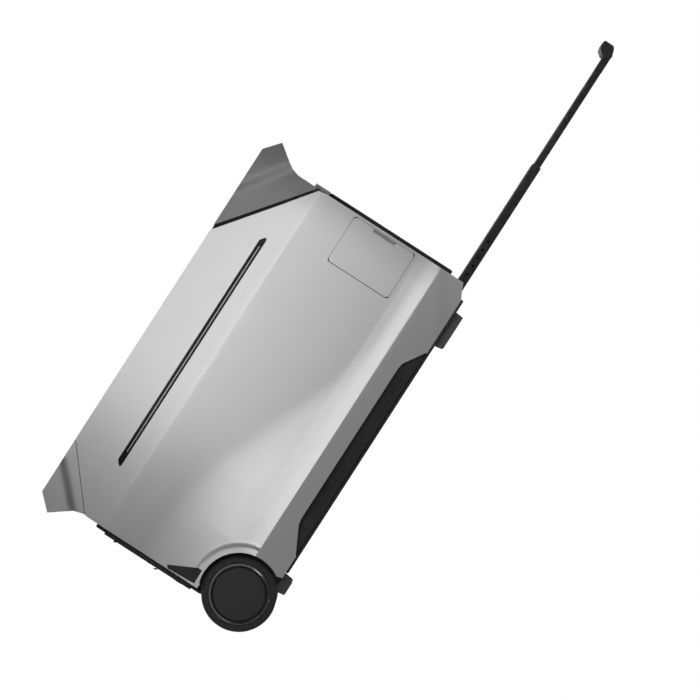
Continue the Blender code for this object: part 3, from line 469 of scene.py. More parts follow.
# ---------------------------------------------------------------- side panels
arch = [(ARCH_R * math.cos(math.radians(a)), WHEEL_Z + ARCH_R * math.sin(math.radians(a))) for a in range(-32, 107, 6)]
SIDE = [
    (60.3, TOP_Z + 8), (60.3, TOP_Z), (-24.9, 304.4), (-25.6, 300.0), (-25.6, 111.4), (-19.0, 111.4),
    *reversed(arch),
    (54.5, SKIRT_Z - 4), (84.0, SKIRT_Z - 4), (93.0, 18.5), (131.0, 38.0), (140.0, 39.5), (397.0, 39.5), (406.5, 38.0), (437.0, 18.5),
    (441.0, SKIRT_Z - 4), (528.0, SKIRT_Z - 4), (530.5, 17.0), (539.0, 21.6), (552.5, 27.4), (552.5, 262.0), (549.6, 273.6), (418.6, TOP_Z), (418.6, TOP_Z + 8),
]
TRIM = [(58.6, 299.2), (455.2, 299.2), (445.0, 307.4), (69.0, 307.4)]
DOOR = [(DOOR_X0, DOOR_Z0), (DOOR_X1, DOOR_Z0), (DOOR_X1, DOOR_Z1), (DOOR_X0, DOOR_Z1)]
CORNER_VENT = [(-20.6, 165.5), (-0.6, 126.0), (-0.6, 119.6), (-21.8, 119.0), (-24.2, 162.5)]


def grown(points, by):
    """A convex outline moved outward by a distance, or inward if it is negative."""
    n = len(points)
    area = sum(points[i][0] * points[(i + 1) % n][1] - points[(i + 1) % n][0] * points[i][1] for i in range(n))
    out = []
    for i in range(n):
        p, a, b = Vector(points[i]), Vector(points[i - 1]), Vector(points[(i + 1) % n])
        d1, d2 = (p - a).normalized(), (b - p).normalized()
        n1, n2 = Vector((d1.y, -d1.x)), Vector((d2.y, -d2.x))
        if area < 0:
            n1, n2 = -n1, -n2
        out.append(tuple(p + (n1 + n2) * (by / (1 + n1.dot(n2)))))
    return out


def side_panel(name, with_door):
    panel = outline(name, SIDE, "XZ", -150, -104, "silver_shell")
    boolean(panel, form, "INTERSECT")
    boolean(panel, form_in)
    holes = [outline("slot_" + name, rounded(grown(TRIM, 0.4), 3.5, 6), "XZ", -150, -100), outline("vent_" + name, grown(CORNER_VENT, 0.4), "XZ", -150, -100)]
    if with_door:
        holes.append(outline("door_way_" + name, rounded(DOOR, 4.0, 4), "XZ", -150, -100))
    return boolean(panel, joined_cutter("ways_" + name, holes))


def skin(name, points, finish, outer, inner, lo=-150, hi=-100):
    """A piece of the housing's skin, cut out by an outline of the side view."""
    piece = outline(name, points, "XZ", lo, hi, finish)
    boolean(piece, outer, "INTERSECT")
    return boolean(piece, inner)


side_right = side_panel("side_panel_right", True)
side_blank = side_panel("side_blank", False)
PIECES.pop("side_blank")
mirrored(side_blank, "side_panel_left", "silver_shell")

trim_right = skin("trim_strip_right", rounded(TRIM, 3.2, 6), "gloss_black", form_sunk, form_deep)
mirrored(trim_right, "trim_strip_left", "gloss_black")
corner_right = skin("corner_vent_right", CORNER_VENT, "black_plastic", form_sunk, form_in)
mirrored(corner_right, "corner_vent_left", "black_plastic")

# ---------------------------------------------------------------- lid, gasket and lifting handles
box("top_cover", 60.7, 418.2, -103.6, 103.6, TOP_Z - 4, TOP_Z, "silver_shell", edge=0.8)

FRONT_HORN = [(427.2, TOP_Z), (557.6, TOP_Z), (580.6, 356.0), (563.3, 332.9), (556.8, 322.8), (553.2, 311.3), (552.8, 285.0), (552.8, 277.1)]
REAR_HORN = [(59.0, TOP_Z), (-30.0, TOP_Z), (-52.0, 352.4), (-29.2, 322.1), (-25.6, 309.9), (-24.9, 305.6)]
front_slot = outline("front_slot", rounded([(524, 395), (553, 395), (553, 348), (563, 338), (600, 316), (600, 300), (548, 300), (524, 318)], 4, 2), "XZ", -58, 58)
rear_slot = outline("rear_slot", rounded([(3, 395), (-23, 395), (-23, 349), (-32, 339), (-70, 318), (-70, 300), (-24, 316), (3, 334)], 4, 2), "XZ", -58, 58)

front_void = outline("front_void", [(430, 371.6), (518, 371.6), (518, 312), (546, 295), (548.5, 284), (548.5, 262), (500, 262), (400, 371.6)], "XZ", -140, 140)
boolean(front_void, form_in, "INTERSECT")
front_handle = outline("front_handle", FRONT_HORN, "XZ", -150, 150, "grey_shell")
boolean(front_handle, form, "INTERSECT")
boolean(front_handle, front_void)
boolean(front_handle, front_slot)

rear_void = outline("rear_void", [(8, 371.6), (70, 371.6), (70, 366), (8, 318)], "XZ", -140, 140)
boolean(rear_void, form_in, "INTERSECT")
rear_handle = outline("rear_handle", REAR_HORN, "XZ", -150, 150, "silver_shell")
boolean(rear_handle, form, "INTERSECT")
boolean(rear_handle, rear_void)
boolean(rear_handle, rear_slot)

# The gasket fills the joint between the side panels and the front handle, and crosses the top between them.
gasket = outline("handle_gasket", [(419.2, TOP_Z), (426.6, TOP_Z), (552.2, 277.0), (552.2, 274.4), (549.9, 274.2)], "XZ", -150, 150, "rubber")
boolean(gasket, form_sunk, "INTERSECT")
boolean(gasket, form_deep)

# ---------------------------------------------------------------- base tray, liners and feet
tray = outline("base_tray", [(-20, -101), (62.5, -101), (62.5, -112.5), (545, -112.5), (545, 112.5), (62.5, 112.5), (62.5, 101), (-20, 101)], "XY", 17.0, 64.0, "black_plastic")
rear_box = box("tray_rear", -20, 74, -101, 101, 17.0, 98.0)
flange = outline("tray_flange", [(62.5, -118), (180, -122.5), (530, -122.5), (530, 122.5), (180, 122.5), (62.5, 118)], "XY", 12.3, 15.75)
hollow = outline("tray_hollow", [(-16, -97), (66.5, -97), (66.5, -108.5), (541, -108.5), (541, 108.5), (66.5, 108.5), (66.5, 97), (-16, 97)], "XY", 18.8, 110)
flange_lip = box("tray_lip", 62.5, 530, -113, 113, 14.6, 18.0)
boolean(flange, flange_lip, "UNION")
boolean(tray, rear_box, "UNION")
boolean(tray, flange, "UNION")
boolean(tray, hollow)
boolean(tray, joined_cutter("axle_bosses", [cylinder(f"axle_boss_{s}", (0, s * 96.0, WHEEL_Z), (0, 1, 0), 14.5, 14, sides=24) for s in (-1, 1)]), "UNION")
boolean(tray, outline("tray_bevel", [(530.4, 17.2), (544.9, 17.2), (544.9, 27.4), (541.5, 27.4), (530.4, 21.2)], "XZ", -112.4, 112.4), "UNION")
boolean(tray, outline("tray_wedge", [(530.5, 10), (550, 10), (550, 26.3), (539, 21.6), (530.5, 17.0)], "XZ", -130, 130))
LOUVRE_X0, LOUVRE_X1 = 92.0, 438.0
LOUVRE = [(LOUVRE_X0, 17.2), (131.0, 40.6), (140.0, 43.0), (397.0, 43.0), (406.5, 40.6), (LOUVRE_X1, 17.2)]
vent_plates = joined_cutter("vent_plates", [outline("plate_right", LOUVRE, "XZ", -117.5, -111.0), outline("plate_left", LOUVRE, "XZ", 111.0, 117.5)])
boolean(tray, vent_plates, "UNION")
boolean(tray, joined_cutter("louvre_slots", [
    box(f"louvre_slot_{s}_{z0}", 150, 386, s * 117.3 - 1.7, s * 117.3 + 1.7, z0, z1) for z0, z1 in ((20.5, 26.4), (28.8, 37.6)) for s in (-1, 1)
]))
boolean(tray, joined_cutter("tray_ways", [
    cylinder("axle_way", (0, 0, WHEEL_Z), (0, 1, 0), AXLE_R + GAP, 260, sides=28),
    box("guide_way_right", 530, 560, -POLE_Y - 14.2, -POLE_Y + 14.2, 18.6, 39.4),
    box("guide_way_left", 530, 560, POLE_Y - 14.2, POLE_Y + 14.2, 18.6, 39.4),
]))

liner_angles = range(-24, 113, 8)
liner_points = [(63.8 * math.cos(math.radians(a)), WHEEL_Z + 63.8 * math.sin(math.radians(a))) for a in liner_angles]
liner_points += [(60.9 * math.cos(math.radians(a)), WHEEL_Z + 60.9 * math.sin(math.radians(a))) for a in reversed(liner_angles)]
liner = outline("wheel_liner_right", liner_points, "XZ", -127.0, -101.4, "black_plastic")
well = [(63.0 * math.cos(math.radians(a)), WHEEL_Z + 63.0 * math.sin(math.radians(a))) for a in liner_angles]
boolean(liner, outline("liner_wall", [(18.0, WHEEL_Z - 9.0), *well, (-24.0, 76.0), (-14.0, 72.0)], "XZ", -104.2, -101.4), "UNION")
boolean(liner, cylinder("liner_axle_way", (0, -103, WHEEL_Z), (0, 1, 0), 15.0, 8, sides=24))
boolean(liner, form_core, "INTERSECT")
boolean(liner, box("liner_trim", 61.5, 80, -130, -100, 0, 70))
mirrored(liner, "wheel_liner_left", "black_plastic")

FRONT_FOOT = [(455.6, 0), (509.4, 0), (510.8, 11.9), (453.8, 11.9)]
for side, y in (("right", -91.0), ("left", 91.0)):
    outline(f"front_foot_{side}", rounded(FRONT_FOOT, [1.5, 1.5, 0, 0], 2), "XZ", y - 22, y + 22, "rubber")
    outline(f"rear_foot_{side}", rounded([(33.0, 0), (55.0, 0), (57.2, 16.6), (30.5, 16.6)], [1.5, 1.5, 0, 0], 2), "XZ", y * 0.88 - 18, y * 0.88 + 18, "rubber")

# ---------------------------------------------------------------- end frames and panels
front_frame = box("front_frame", 546.6, 552.2, -140, 140, 27.8, 273.6, "grey_shell")
boolean(front_frame, form_core, "INTERSECT")
# The frame's upper band stands forward of the panel, under the lip of the lifting handle.
boolean(front_frame, box("frame_step", 550.0, 556.0, -96, 96, 258.9, 273.2), "UNION")
boolean(front_frame, box("frame_band", 553.2, 558.3, -96.5, 96.5, 258.6, 283.0), "UNION")
boolean(front_frame, box("pocket_way", 545, 549.4, -140, -123.2, 134.0, 182.0))
FRONT_FACE = [(-104, 49), (104, 49), (104, 214), (90, 258), (-90, 258), (-104, 214)]
REAR_FACE = [(-98, 102), (98, 102), (98, 236), (84, 283), (-84, 283), (-98, 236)]
boolean(front_frame, joined_cutter("front_ways", [
    outline("front_way", rounded(grown(FRONT_FACE, 0.4), 8), "YZ", 540, 565),
    box("pole_way_right", 540, 560, -POLE_Y - 11.6, -POLE_Y + 11.6, POLE_Z - 7.6, POLE_Z + 7.6),
    box("pole_way_left", 540, 560, POLE_Y - 11.6, POLE_Y + 11.6, POLE_Z - 7.6, POLE_Z + 7.6),
]))
front_panel = outline("front_panel", rounded(FRONT_FACE, 8), "YZ", 550.0, 558.3, "black_plastic", edge=1.6)
SCREEN = [(-60, 196), (60, 196), (60, 244), (-60, 244)]
AC_PLATE = [(-95, 58), (95, 58), (95, 140), (-95, 140)]
DC_PLATE = [(-95, 148), (36, 148), (36, 186), (-95, 186)]
CAR_Y, CAR_Z = 68.0, 167.0
BUTTONS = {"power_button": (80.0, 222.0, 9.0), "dc_button": (-80.0, 208.0, 6.5), "ac_button": (-80.0, 230.0, 6.5)}
boolean(front_panel, joined_cutter("panel_ways", [
    outline("screen_way", rounded(grown(SCREEN, GAP), 4), "YZ", 545, 565),
    outline("ac_way", rounded(grown(AC_PLATE, GAP), 6), "YZ", 545, 565),
    outline("dc_way", rounded(grown(DC_PLATE, GAP), 5), "YZ", 545, 565),
    cylinder("car_way", (555, CAR_Y, CAR_Z), (1, 0, 0), 14.6, 30, sides=24),
    *[cylinder(n + "_way", (555, y, z), (1, 0, 0), r + 0.45, 30, sides=24) for n, (y, z, r) in BUTTONS.items()],
]))
outline("display_window", rounded(SCREEN, 4), "YZ", 553.0, 558.0, "gloss_black", edge=0.5)
for n, (y, z, r) in BUTTONS.items():
    cylinder(n, (555.5, y, z), (1, 0, 0), r, 6.0, "button", sides=24, edge=0.7)

ac_plate = outline("ac_socket_plate", rounded(AC_PLATE, 6), "YZ", 546.9, 557.3, "black_plastic")
slots = []
for k, (y, z) in enumerate([(-66, 79), (-22, 79), (-66, 119), (-22, 119), (22, 119), (66, 119)]):
    slots.append(box(f"slot_l_{k}", 551, 560, y - 7.1, y - 5.3, z - 2, z + 7))
    slots.append(box(f"slot_r_{k}", 551, 560, y + 5.3, y + 7.1, z - 1.2, z + 6.2))
    slots.append(cylinder(f"slot_g_{k}", (555.5, y, z - 7), (1, 0, 0), 2.6, 9, sides=8))
slots.append(cylinder("large_socket", (557, 44, 79), (1, 0, 0), 16.5, 4, sides=28))
boolean(ac_plate, joined_cutter("ac_slots", slots))
dc_plate = outline("dc_socket_plate", rounded(DC_PLATE, 5), "YZ", 546.9, 557.3, "black_plastic")
slots = [box(f"usb_{k}", 550, 560, y - 4.6, y + 4.6, z - 1.6, z + 1.6) for k, (y, z) in enumerate([(-80, 176), (-80, 159), (-56, 176), (-56, 159)])]
slots += [box(f"usb_a_{k}", 550, 560, y - 6.8, y + 6.8, z - 3, z + 3) for k, (y, z) in enumerate([(-30, 176), (-30, 159)])]
slots += [cylinder(f"barrel_{k}", (555.5, 2, z), (1, 0, 0), 3.4, 9, sides=12) for k, z in enumerate((158, 176))]
slots.append(box("aux", 550, 560, 14, 29, 160.5, 173.5))
boolean(dc_plate, joined_cutter("dc_slots", slots))
turned("car_socket", [(14.2, 0), (14.2, -34), (0.0, -34), (0.0, -31), (10.5, -31), (10.5, 0)], (554.9, CAR_Y, CAR_Z), (1, 0, 0), "black_plastic", 24)
cap = cylinder("car_socket_cap", (556.9, CAR_Y, CAR_Z), (1, 0, 0), 14.1, 3.2, "rubber", sides=24, edge=0.8)
boolean(cap, outline("cap_finger_dip", rounded([(CAR_Y - 8, CAR_Z - 12), (CAR_Y + 8, CAR_Z - 12), (CAR_Y + 8, CAR_Z - 7), (CAR_Y - 8, CAR_Z - 7)], 2), "YZ", 557.0, 560.0))

rear_frame = box("rear_frame", -25.3, -20.4, -140, 140, 101.5, 304.0, "silver_shell")
boolean(rear_frame, form_core, "INTERSECT")
boolean(rear_frame, box("rear_way", -40, 0, -86, 86, 112, 273))
boolean(rear_frame, joined_cutter("frame_wheel_ways", [
    cylinder("wheel_way_right", (0, -122, WHEEL_Z), (0, 1, 0), 64.6, 45, sides=32),
    cylinder("wheel_way_left", (0, 122, WHEEL_Z), (0, 1, 0), 64.6, 45, sides=32),
]))
rear_panel = outline("rear_panel", rounded(REAR_FACE, 8), "YZ", -31.4, -25.7, "black_plastic", edge=1.2)
boolean(rear_panel, outline("rear_raised", rounded([(-92, 119), (92, 119), (92, 232), (80, 267), (-80, 267), (-92, 232)], 8), "YZ", -34.0, -29.0), "UNION")
boolean(rear_panel, outline("rear_inner", [(-84, 114), (84, 114), (84, 271), (-84, 271)], "YZ", -27.0, -12.0), "UNION")
CAPS = {"link_port_cap": (-30, 30, 246, 264), "mains_inlet_cap": (18, 76, 188, 232), "solar_port_cap": (-76, -18, 175.5, 219.5)}
RESETS = {"breaker_button_right": -36.0, "breaker_button_left": 36.0}
rear_cuts = []
for n, (y0, y1, z0, z1) in CAPS.items():
    rear_cuts.append(box(n + "_seat", -40, -31.2, y0 - GAP, y1 + GAP, z0 - GAP - 1.0, z1 + GAP))
rear_cuts += [cylinder(n + "_hole", (-30, y, 140), (1, 0, 0), 6.9, 30, sides=20) for n, y in RESETS.items()]
rear_cuts.append(box("switch_seat", -40, -28.0, -11, 11, 135.5, 144.5))
boolean(rear_panel, joined_cutter("rear_ways", rear_cuts))
boolean(rear_panel, joined_cutter("rear_ports", [box(n + "_port", -40, -16.0, y0 + 8, y1 - 8, z0 + 4, z1 - 4) for n, (y0, y1, z0, z1) in CAPS.items()]))
for n, (y0, y1, z0, z1) in CAPS.items():
    lid = box(n, -33.9, -31.6, y0, y1, z0, z1, "rubber")
    boolean(lid, box(n + "_plug", -32.0, -28.6, y0 + 9.5, y1 - 9.5, z0 + 5.5, z1 - 7.5), "UNION")
    middle = (y0 + y1) / 2
    lip = [(-33.0, z0 - 0.9), (-36.2, z0 - 0.9), (-38.2, z0 + 1.6), (-38.2, z0 + 4.4), (-37.0, z0 + 4.4), (-36.4, z0 + 2.0), (-35.2, z0 + 0.6), (-33.0, z0 + 0.6)]
    boolean(lid, outline(n + "_lip", lip, "XZ", middle - 9, middle + 9), "UNION")
for n, y in RESETS.items():
    cylinder(n, (-31.8, y, 140), (1, 0, 0), 6.4, 8.4, "button", sides=20, edge=0.6)
switch = box("charge_rate_switch", -33.4, -28.4, -6, 1, 136.2, 143.8, "button")
boolean(switch, box("switch_rib", -34.6, -33.0, -4.2, -0.8, 136.8, 143.2), "UNION")

# ---------------------------------------------------------------- expansion port door and bay
door_shell = outline("port_door", rounded(grown(DOOR, -0.5), 6.4, 4), "XZ", -150, -100, "silver_shell")
boolean(door_shell, form, "INTERSECT")
boolean(door_shell, form_in)
# The hinge edge is cut back and slopes, so that it clears the opening as the door swings.
boolean(door_shell, outline("door_edge", [(470, -150), (473.4, -150), (473.4, -131.2), (476.4, -127), (476.4, -120), (470, -120)], "XY", 100, 220))
boolean(door_shell, box("finger_slot", 542.8, 547.2, -140, -100, 138.5, 177.4))
pocket = box("finger_pocket", 541.4, 548.3, -129.2, -124.0, 137.0, 178.9)
boolean(pocket, box("finger_hollow", 542.8, 547.2, -140, -125.6, 138.5, 177.4))
boolean(door_shell, pocket, "UNION")
HOOK_Z0, HOOK_Z1 = 149.0, 168.0
px, py = DOOR_PIVOT_X, DOOR_PIVOT_Y
# A gooseneck: it passes behind the edge of the opening, so the door swings clear of the side panel.
hook = outline("door_hook", [(px - 2.6, py + 0.2), (px + 2.6, py + 0.2), (px + 2.6, py + 7.3), (px + 10.4, py + 7.3), (px + 10.4, py - 4.3), (px + 13.4, py - 4.3), (px + 13.4, py + 9.9), (px - 2.6, py + 9.9)], "XY", HOOK_Z0, HOOK_Z1)
boolean(hook, cylinder("knuckle", (px, py, (HOOK_Z0 + HOOK_Z1) / 2), (0, 0, 1), 2.9, HOOK_Z1 - HOOK_Z0, sides=20), "UNION")
boolean(hook, cylinder("pin_way", (px, py, 158), (0, 0, 1), 1.75, 40, sides=16))
boolean(door_shell, hook, "UNION")
cylinder("door_hinge_pin", (px, py, (HOOK_Z0 + HOOK_Z1) / 2), (0, 0, 1), 1.4, 37.0, "steel", sides=16)

bay = box("port_bay", 455.0, 545.6, -140, -92.0, 101.0, 217.0, "black_plastic")
boolean(bay, form_core, "INTERSECT")
boolean(bay, box("bay_hollow", 458.0, 543.0, -150, -95.0, 103.5, 214.5))
boolean(bay, box("bay_notch", 540.8, 547.0, -150, -123.2, 134.0, 182.0))
lugs = joined_cutter("bay_lugs", [box("lug_low", 456.5, px + 3.0, py - 3.0, py + 3.0, 139.5, 148.4), box("lug_high", 456.5, px + 3.0, py - 3.0, py + 3.0, 168.6, 177.5)])
boolean(bay, lugs, "UNION")
boolean(bay, cylinder("lug_way", (px, py, 158), (0, 0, 1), 1.75, 60, sides=16))
sockets = joined_cutter("bay_sockets", [box("socket_low", 478, 530, -104, -94, 110, 152), box("socket_high", 478, 530, -104, -94, 164, 206)])
boolean(bay, sockets, "UNION")
boolean(bay, joined_cutter("bay_socket_ways", [box("socket_way_low", 484, 524, -110, -99, 116, 146), box("socket_way_high", 484, 524, -110, -99, 170, 200)]))

# ---------------------------------------------------------------- wheels and axle
cylinder("axle", (0, 0, WHEEL_Z), (0, 1, 0), AXLE_R, 262, "steel", sides=28, edge=0.8)
for side, s in (("right", -1), ("left", 1)):
    w = WHEEL_OUT_Y - WHEEL_IN_Y
    tyre = [(47.3, w), (51.4, w - 0.9), (52.0, w - 1.8), (52.6, w - 1.7), (WHEEL_R, w - 5.5), (WHEEL_R, 5.5), (51.6, 1.4), (47.0, 0.4), (44.2, 0.4), (44.2, w - 2.0)]
    rim = [(38.8, w - 4.0), (39.6, w - 3.7), (43.6, w - 1.2), (43.9, w - 1.8), (43.9, 1.2), (40.0, 1.2), (36.0, 9.0), (14.0, 9.0), (14.0, 0.8), (8.4, 0.8), (8.4, w - 9.0), (38.8, w - 9.0)]
    hub = [(38.3, w - 1.6), (38.3, w - 8.6), (16.0, w - 8.6), (16.0, w - 4.0), (0, w - 4.0), (0, w - 0.8), (37.3, w - 0.8)]
    turned(f"tyre_{side}", tyre, (0, s * WHEEL_IN_Y, WHEEL_Z), (0, s, 0), "tyre", 48)
    turned(f"rim_{side}", rim, (0, s * WHEEL_IN_Y, WHEEL_Z), (0, s, 0), "rim", 40)
    turned(f"hub_cap_{side}", hub, (0, s * WHEEL_IN_Y, WHEEL_Z), (0, s, 0), "black_plastic", 40)

# ---------------------------------------------------------------- pull handle
def tube(name, x0, x1, y, width, height, wall, finish, holes=()):
    outer = [(y - width / 2, POLE_Z - height / 2), (y + width / 2, POLE_Z - height / 2), (y + width / 2, POLE_Z + height / 2), (y - width / 2, POLE_Z + height / 2)]
    made = outline(name, rounded(outer, 2.7, 3), "YZ", x0, x1, finish, holes=[rounded(grown(outer, -wall), 1.8, 2)])
    if holes:
        side = -1 if y < 0 else 1
        boolean(made, joined_cutter(name + "_holes", [cylinder(f"{name}_hole_{k}", (x, y + side * width / 2, POLE_Z), (0, 1, 0), 1.8, 6.4, sides=10, turn=0.2) for k, x in enumerate(holes)]))
    return made


for side, s in (("right", -1), ("left", 1)):
    y = s * POLE_Y
    guide = [(y - 13.6, 19.2), (y + 13.6, 19.2), (y + 13.6, 38.8), (y - 13.6, 38.8)]
    ways = [(y - 11.4, POLE_Z - 7.4), (y + 11.4, POLE_Z - 7.4), (y + 11.4, POLE_Z + 7.4), (y - 11.4, POLE_Z + 7.4)]
    outline(f"pole_guide_{side}", guide, "YZ", 230.0, 534.0, "black_plastic", holes=[ways])
    tube(f"outer_tube_{side}", OUTER_X0, OUTER_X1, y, OUTER_W, OUTER_H, 1.5, "pole", holes=[566.6 + 13.8 * k for k in range(5)])
    tube(f"inner_tube_{side}", INNER_X0, INNER_X1, y, INNER_W, INNER_H, 1.4, "pole")
GRIP = [(937.4, 28.4), (939.1, 37.7), (944.9, 44.2), (950.6, 45.6), (956.8, 45.4), (958.3, 43.6), (958.3, 29.8), (954.9, 26.9), (943.4, 22.9), (938.6, 24.6)]
grip = outline("grip", GRIP, "XZ", -GRIP_HALF, GRIP_HALF, "black_plastic", edge=1.2)
boolean(grip, joined_cutter("grip_necks", [box(f"grip_neck_{s}", 915.4, 942.0, s * POLE_Y - 9.4, s * POLE_Y + 9.4, POLE_Z - 5.5, POLE_Z + 5.2) for s in (-1, 1)]), "UNION")
boolean(grip, box("button_seat", 951.5, 970, -18.5, 18.5, 32.5, 41.5))
box("grip_button", 955.6, 958.2, -18.1, 18.1, 32.9, 41.1, "button", edge=0.6)

# ---------------------------------------------------------------- what it holds inside
box("battery_pack", 80, 392, -106, 106, 70, 208, "cell_pack", edge=3)
inverter = box("inverter_module", 92, 392, -92, 92, 232, 246, "circuit")
boolean(inverter, joined_cutter("heat_sinks", [box("sink_left", 110, 370, 30, 80, 240, 292), box("sink_right", 110, 370, -80, -30, 240, 292)]), "UNION")
bulkhead = box("fan_bulkhead", 402, 408, -104, 104, 68, 210, "black_plastic")
FANS = {"right": -50.0, "left": 50.0}
boolean(bulkhead, joined_cutter("fan_ways", [cylinder(f"fan_way_{side}", (405, y, 140), (1, 0, 0), 42.5, 20, sides=32) for side, y in FANS.items()]))
boolean(bulkhead, joined_cutter("fan_mounts", [box(f"fan_spider_{side}_{k}", 396.5, 403.0, y - (44 if k else 2), y + (44 if k else 2), 140 - (2 if k else 44), 140 + (2 if k else 44)) for side, y in FANS.items() for k in (0, 1)]), "UNION")
for side, y in FANS.items():
    rotor = cylinder(f"fan_rotor_{side}", (413.5, y, 140), (1, 0, 0), 15, 18, "black_plastic", sides=21)
    blades = []
    for k in range(7):
        blade = box(f"blade_{side}_{k}", 406.0, 420.5, y - 1.0, y + 1.0, 152.0, 180.0)
        blade.data.transform(Matrix.Rotation(math.radians(24), 4, "Z"))
        blade.matrix_world = Matrix.Translation(m(413.5, y, 140)) @ Matrix.Rotation(math.radians(360 / 7 * k), 4, "X") @ Matrix.Translation(m(413.5, y, 140)).inverted() @ Matrix.Translation(blade.location)
        blades.append(blade)
    boolean(rotor, joined_cutter(f"blades_{side}", blades), "UNION")


# ---------------------------------------------------------------- details that only show
trim_line = outline("trim_line_right", [(84.0, 302.0), (438.0, 302.0), (436.5, 303.4), (86.0, 303.4)], "XZ", -150, -100, "trim_line")
boolean(trim_line, envelope("line_out", 0.7, 0.8, fine=True), "INTERSECT")
boolean(trim_line, envelope("line_in", 1.25, 1.2, fine=True))
mirrored(trim_line, "trim_line_left", "trim_line")
seal = outline("door_seal", rounded(grown(DOOR, 1.8), 5.5, 4), "XZ", -150, -100, "rubber", holes=[rounded(grown(DOOR, -2.2), 4, 4)])
boolean(seal, envelope("seal_out", 3.15, 4), "INTERSECT")
boolean(seal, envelope("seal_in", 3.6, 4))
ribs = [box(f"rib_{k}", 543.2, 546.8, -128.0, -126.1, 140.2 + 2.5 * k, 141.4 + 2.5 * k) for k in range(15)]
finger_ribs = place(joined_cutter("finger_ribs", ribs), "black_plastic")
finger_ribs.hide_render = False
finger_ribs.display_type = "TEXTURED"

# ---------------------------------------------------------------- evaluated pieces, dressed and riding on their bodies
BODY = {node: body for body, nodes in frame["record"]["behaviour"]["bodies"].items() for node in nodes}
RIDES_WITH = {"door_seal": "housing", "trim_line_right": "housing", "trim_line_left": "housing", "finger_ribs": "door"}
# The feet's foot finish carries painted light: its grey is lightened against the shade under the housing.
FINISH = {"front_foot_right": "foot", "front_foot_left": "foot", "rear_foot_right": "foot", "rear_foot_left": "foot", "hub_cap_right": "hub", "hub_cap_left": "hub", "display_window": "screen"}
FINE_EDGE = {"side_panel_right": 0.5, "side_panel_left": 0.5, "front_handle": 1.0, "rear_handle": 1.0, "port_door": 0.35, "top_cover": 0.6, "front_panel": 0.5, "rear_panel": 0.7, "front_frame": 0.6, "base_tray": 0.6, "outer_tube_right": 0.25, "outer_tube_left": 0.25, "grip": 0.8}
NO_EDGE = {"battery_pack", "inverter_module", "tyre_right", "tyre_left", "handle_gasket", "corner_vent_right", "corner_vent_left"}

bpy.context.view_layer.update()
depsgraph = bpy.context.evaluated_depsgraph_get()
jobs = [(name, obj, finish, False) for name, (obj, finish) in PIECES.items()]
jobs += [(name, obj, finish, True) for obj, name, finish in MIRRORED]
made = {}
for name, obj, finish, flip in jobs:
    mesh = bpy.data.meshes.new_from_object(obj.evaluated_get(depsgraph))
    mesh.transform(obj.matrix_world)
    if flip:
        mesh.transform(Matrix.Scale(-1, 4, Vector((0, 1, 0))))
        mesh.flip_normals()
    bm = bmesh.new()
    bm.from_mesh(mesh)
    bmesh.ops.remove_doubles(bm, verts=bm.verts, dist=2e-6)
    bmesh.ops.dissolve_degenerate(bm, dist=1e-6, edges=bm.edges)
    if name not in ("form",):
        bmesh.ops.dissolve_limit(bm, angle_limit=math.radians(0.02), verts=bm.verts, edges=bm.edges)
    bm.to_mesh(mesh)
    bm.free()
    mesh.shade_smooth()
    mesh.set_sharp_from_angle(angle=math.radians(24))
    mesh.materials.clear()
    mesh.materials.append(material(FINISH.get(name, finish)))
    made[name] = (mesh, finish)
for name, (mesh, finish) in made.items():
    piece = bpy.data.objects.new("look_" + name, mesh)
    bpy.context.scene.collection.objects.link(piece)
    if name not in NO_EDGE:
        mod = piece.modifiers.new("edge", "BEVEL")
        mod.width = FINE_EDGE.get(name, 0.4) / 1000
        mod.segments = 2
        mod.limit_method = "ANGLE"
        mod.angle_limit = math.radians(38)
        mod.harden_normals = False
        mod.miter_outer = "MITER_ARC"
        weighted = piece.modifiers.new("even", "WEIGHTED_NORMAL")
        weighted.keep_sharp = True
    if name in BODY:
        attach(piece, BODY[name])
        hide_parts(name)
    else:
        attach(piece, RIDES_WITH[name])
for obj in list(parts.objects) + list(cutters.objects):
    bpy.data.objects.remove(obj)

# ---------------------------------------------------------------- floor, light and camera
def plane(name, size, location):
    bm = bmesh.new()
    bmesh.ops.create_grid(bm, x_segments=1, y_segments=1, size=size / 2)
    obj = from_bmesh(name, bm)
    obj.location = location
    return obj


FLOOR_GLOW = 0.24
floor = plane("floor", 4.0, (0, 0, -0.0005))
paper = bpy.data.materials.new("studio_paper")
paper.use_nodes = True
nodes, links = paper.node_tree.nodes, paper.node_tree.links
shader = nodes["Principled BSDF"]
shader.inputs["Base Color"].default_value = (0.32, 0.32, 0.32, 1)
shader.inputs["Roughness"].default_value = 0.9
shader.inputs["Specular IOR Level"].default_value = 0.0
shader.inputs["Emission Color"].default_value = (1, 1, 1, 1)
seen = nodes.new("ShaderNodeLightPath")
glow = nodes.new("ShaderNodeMapRange")
glow.inputs["To Min"].default_value = FLOOR_GLOW
glow.inputs["To Max"].default_value = 0.96
links.new(seen.outputs["Is Camera Ray"], glow.inputs["Value"])
links.new(glow.outputs["Result"], shader.inputs["Emission Strength"])
fibre = nodes.new("ShaderNodeTexNoise")
fibre.inputs["Scale"].default_value = 900
relief = nodes.new("ShaderNodeBump")
relief.inputs["Strength"].default_value = 0.05
relief.inputs["Distance"].default_value = 0.0002
links.new(fibre.outputs["Fac"], relief.inputs["Height"])
links.new(relief.outputs["Normal"], shader.inputs["Normal"])
floor.data.materials.append(paper)

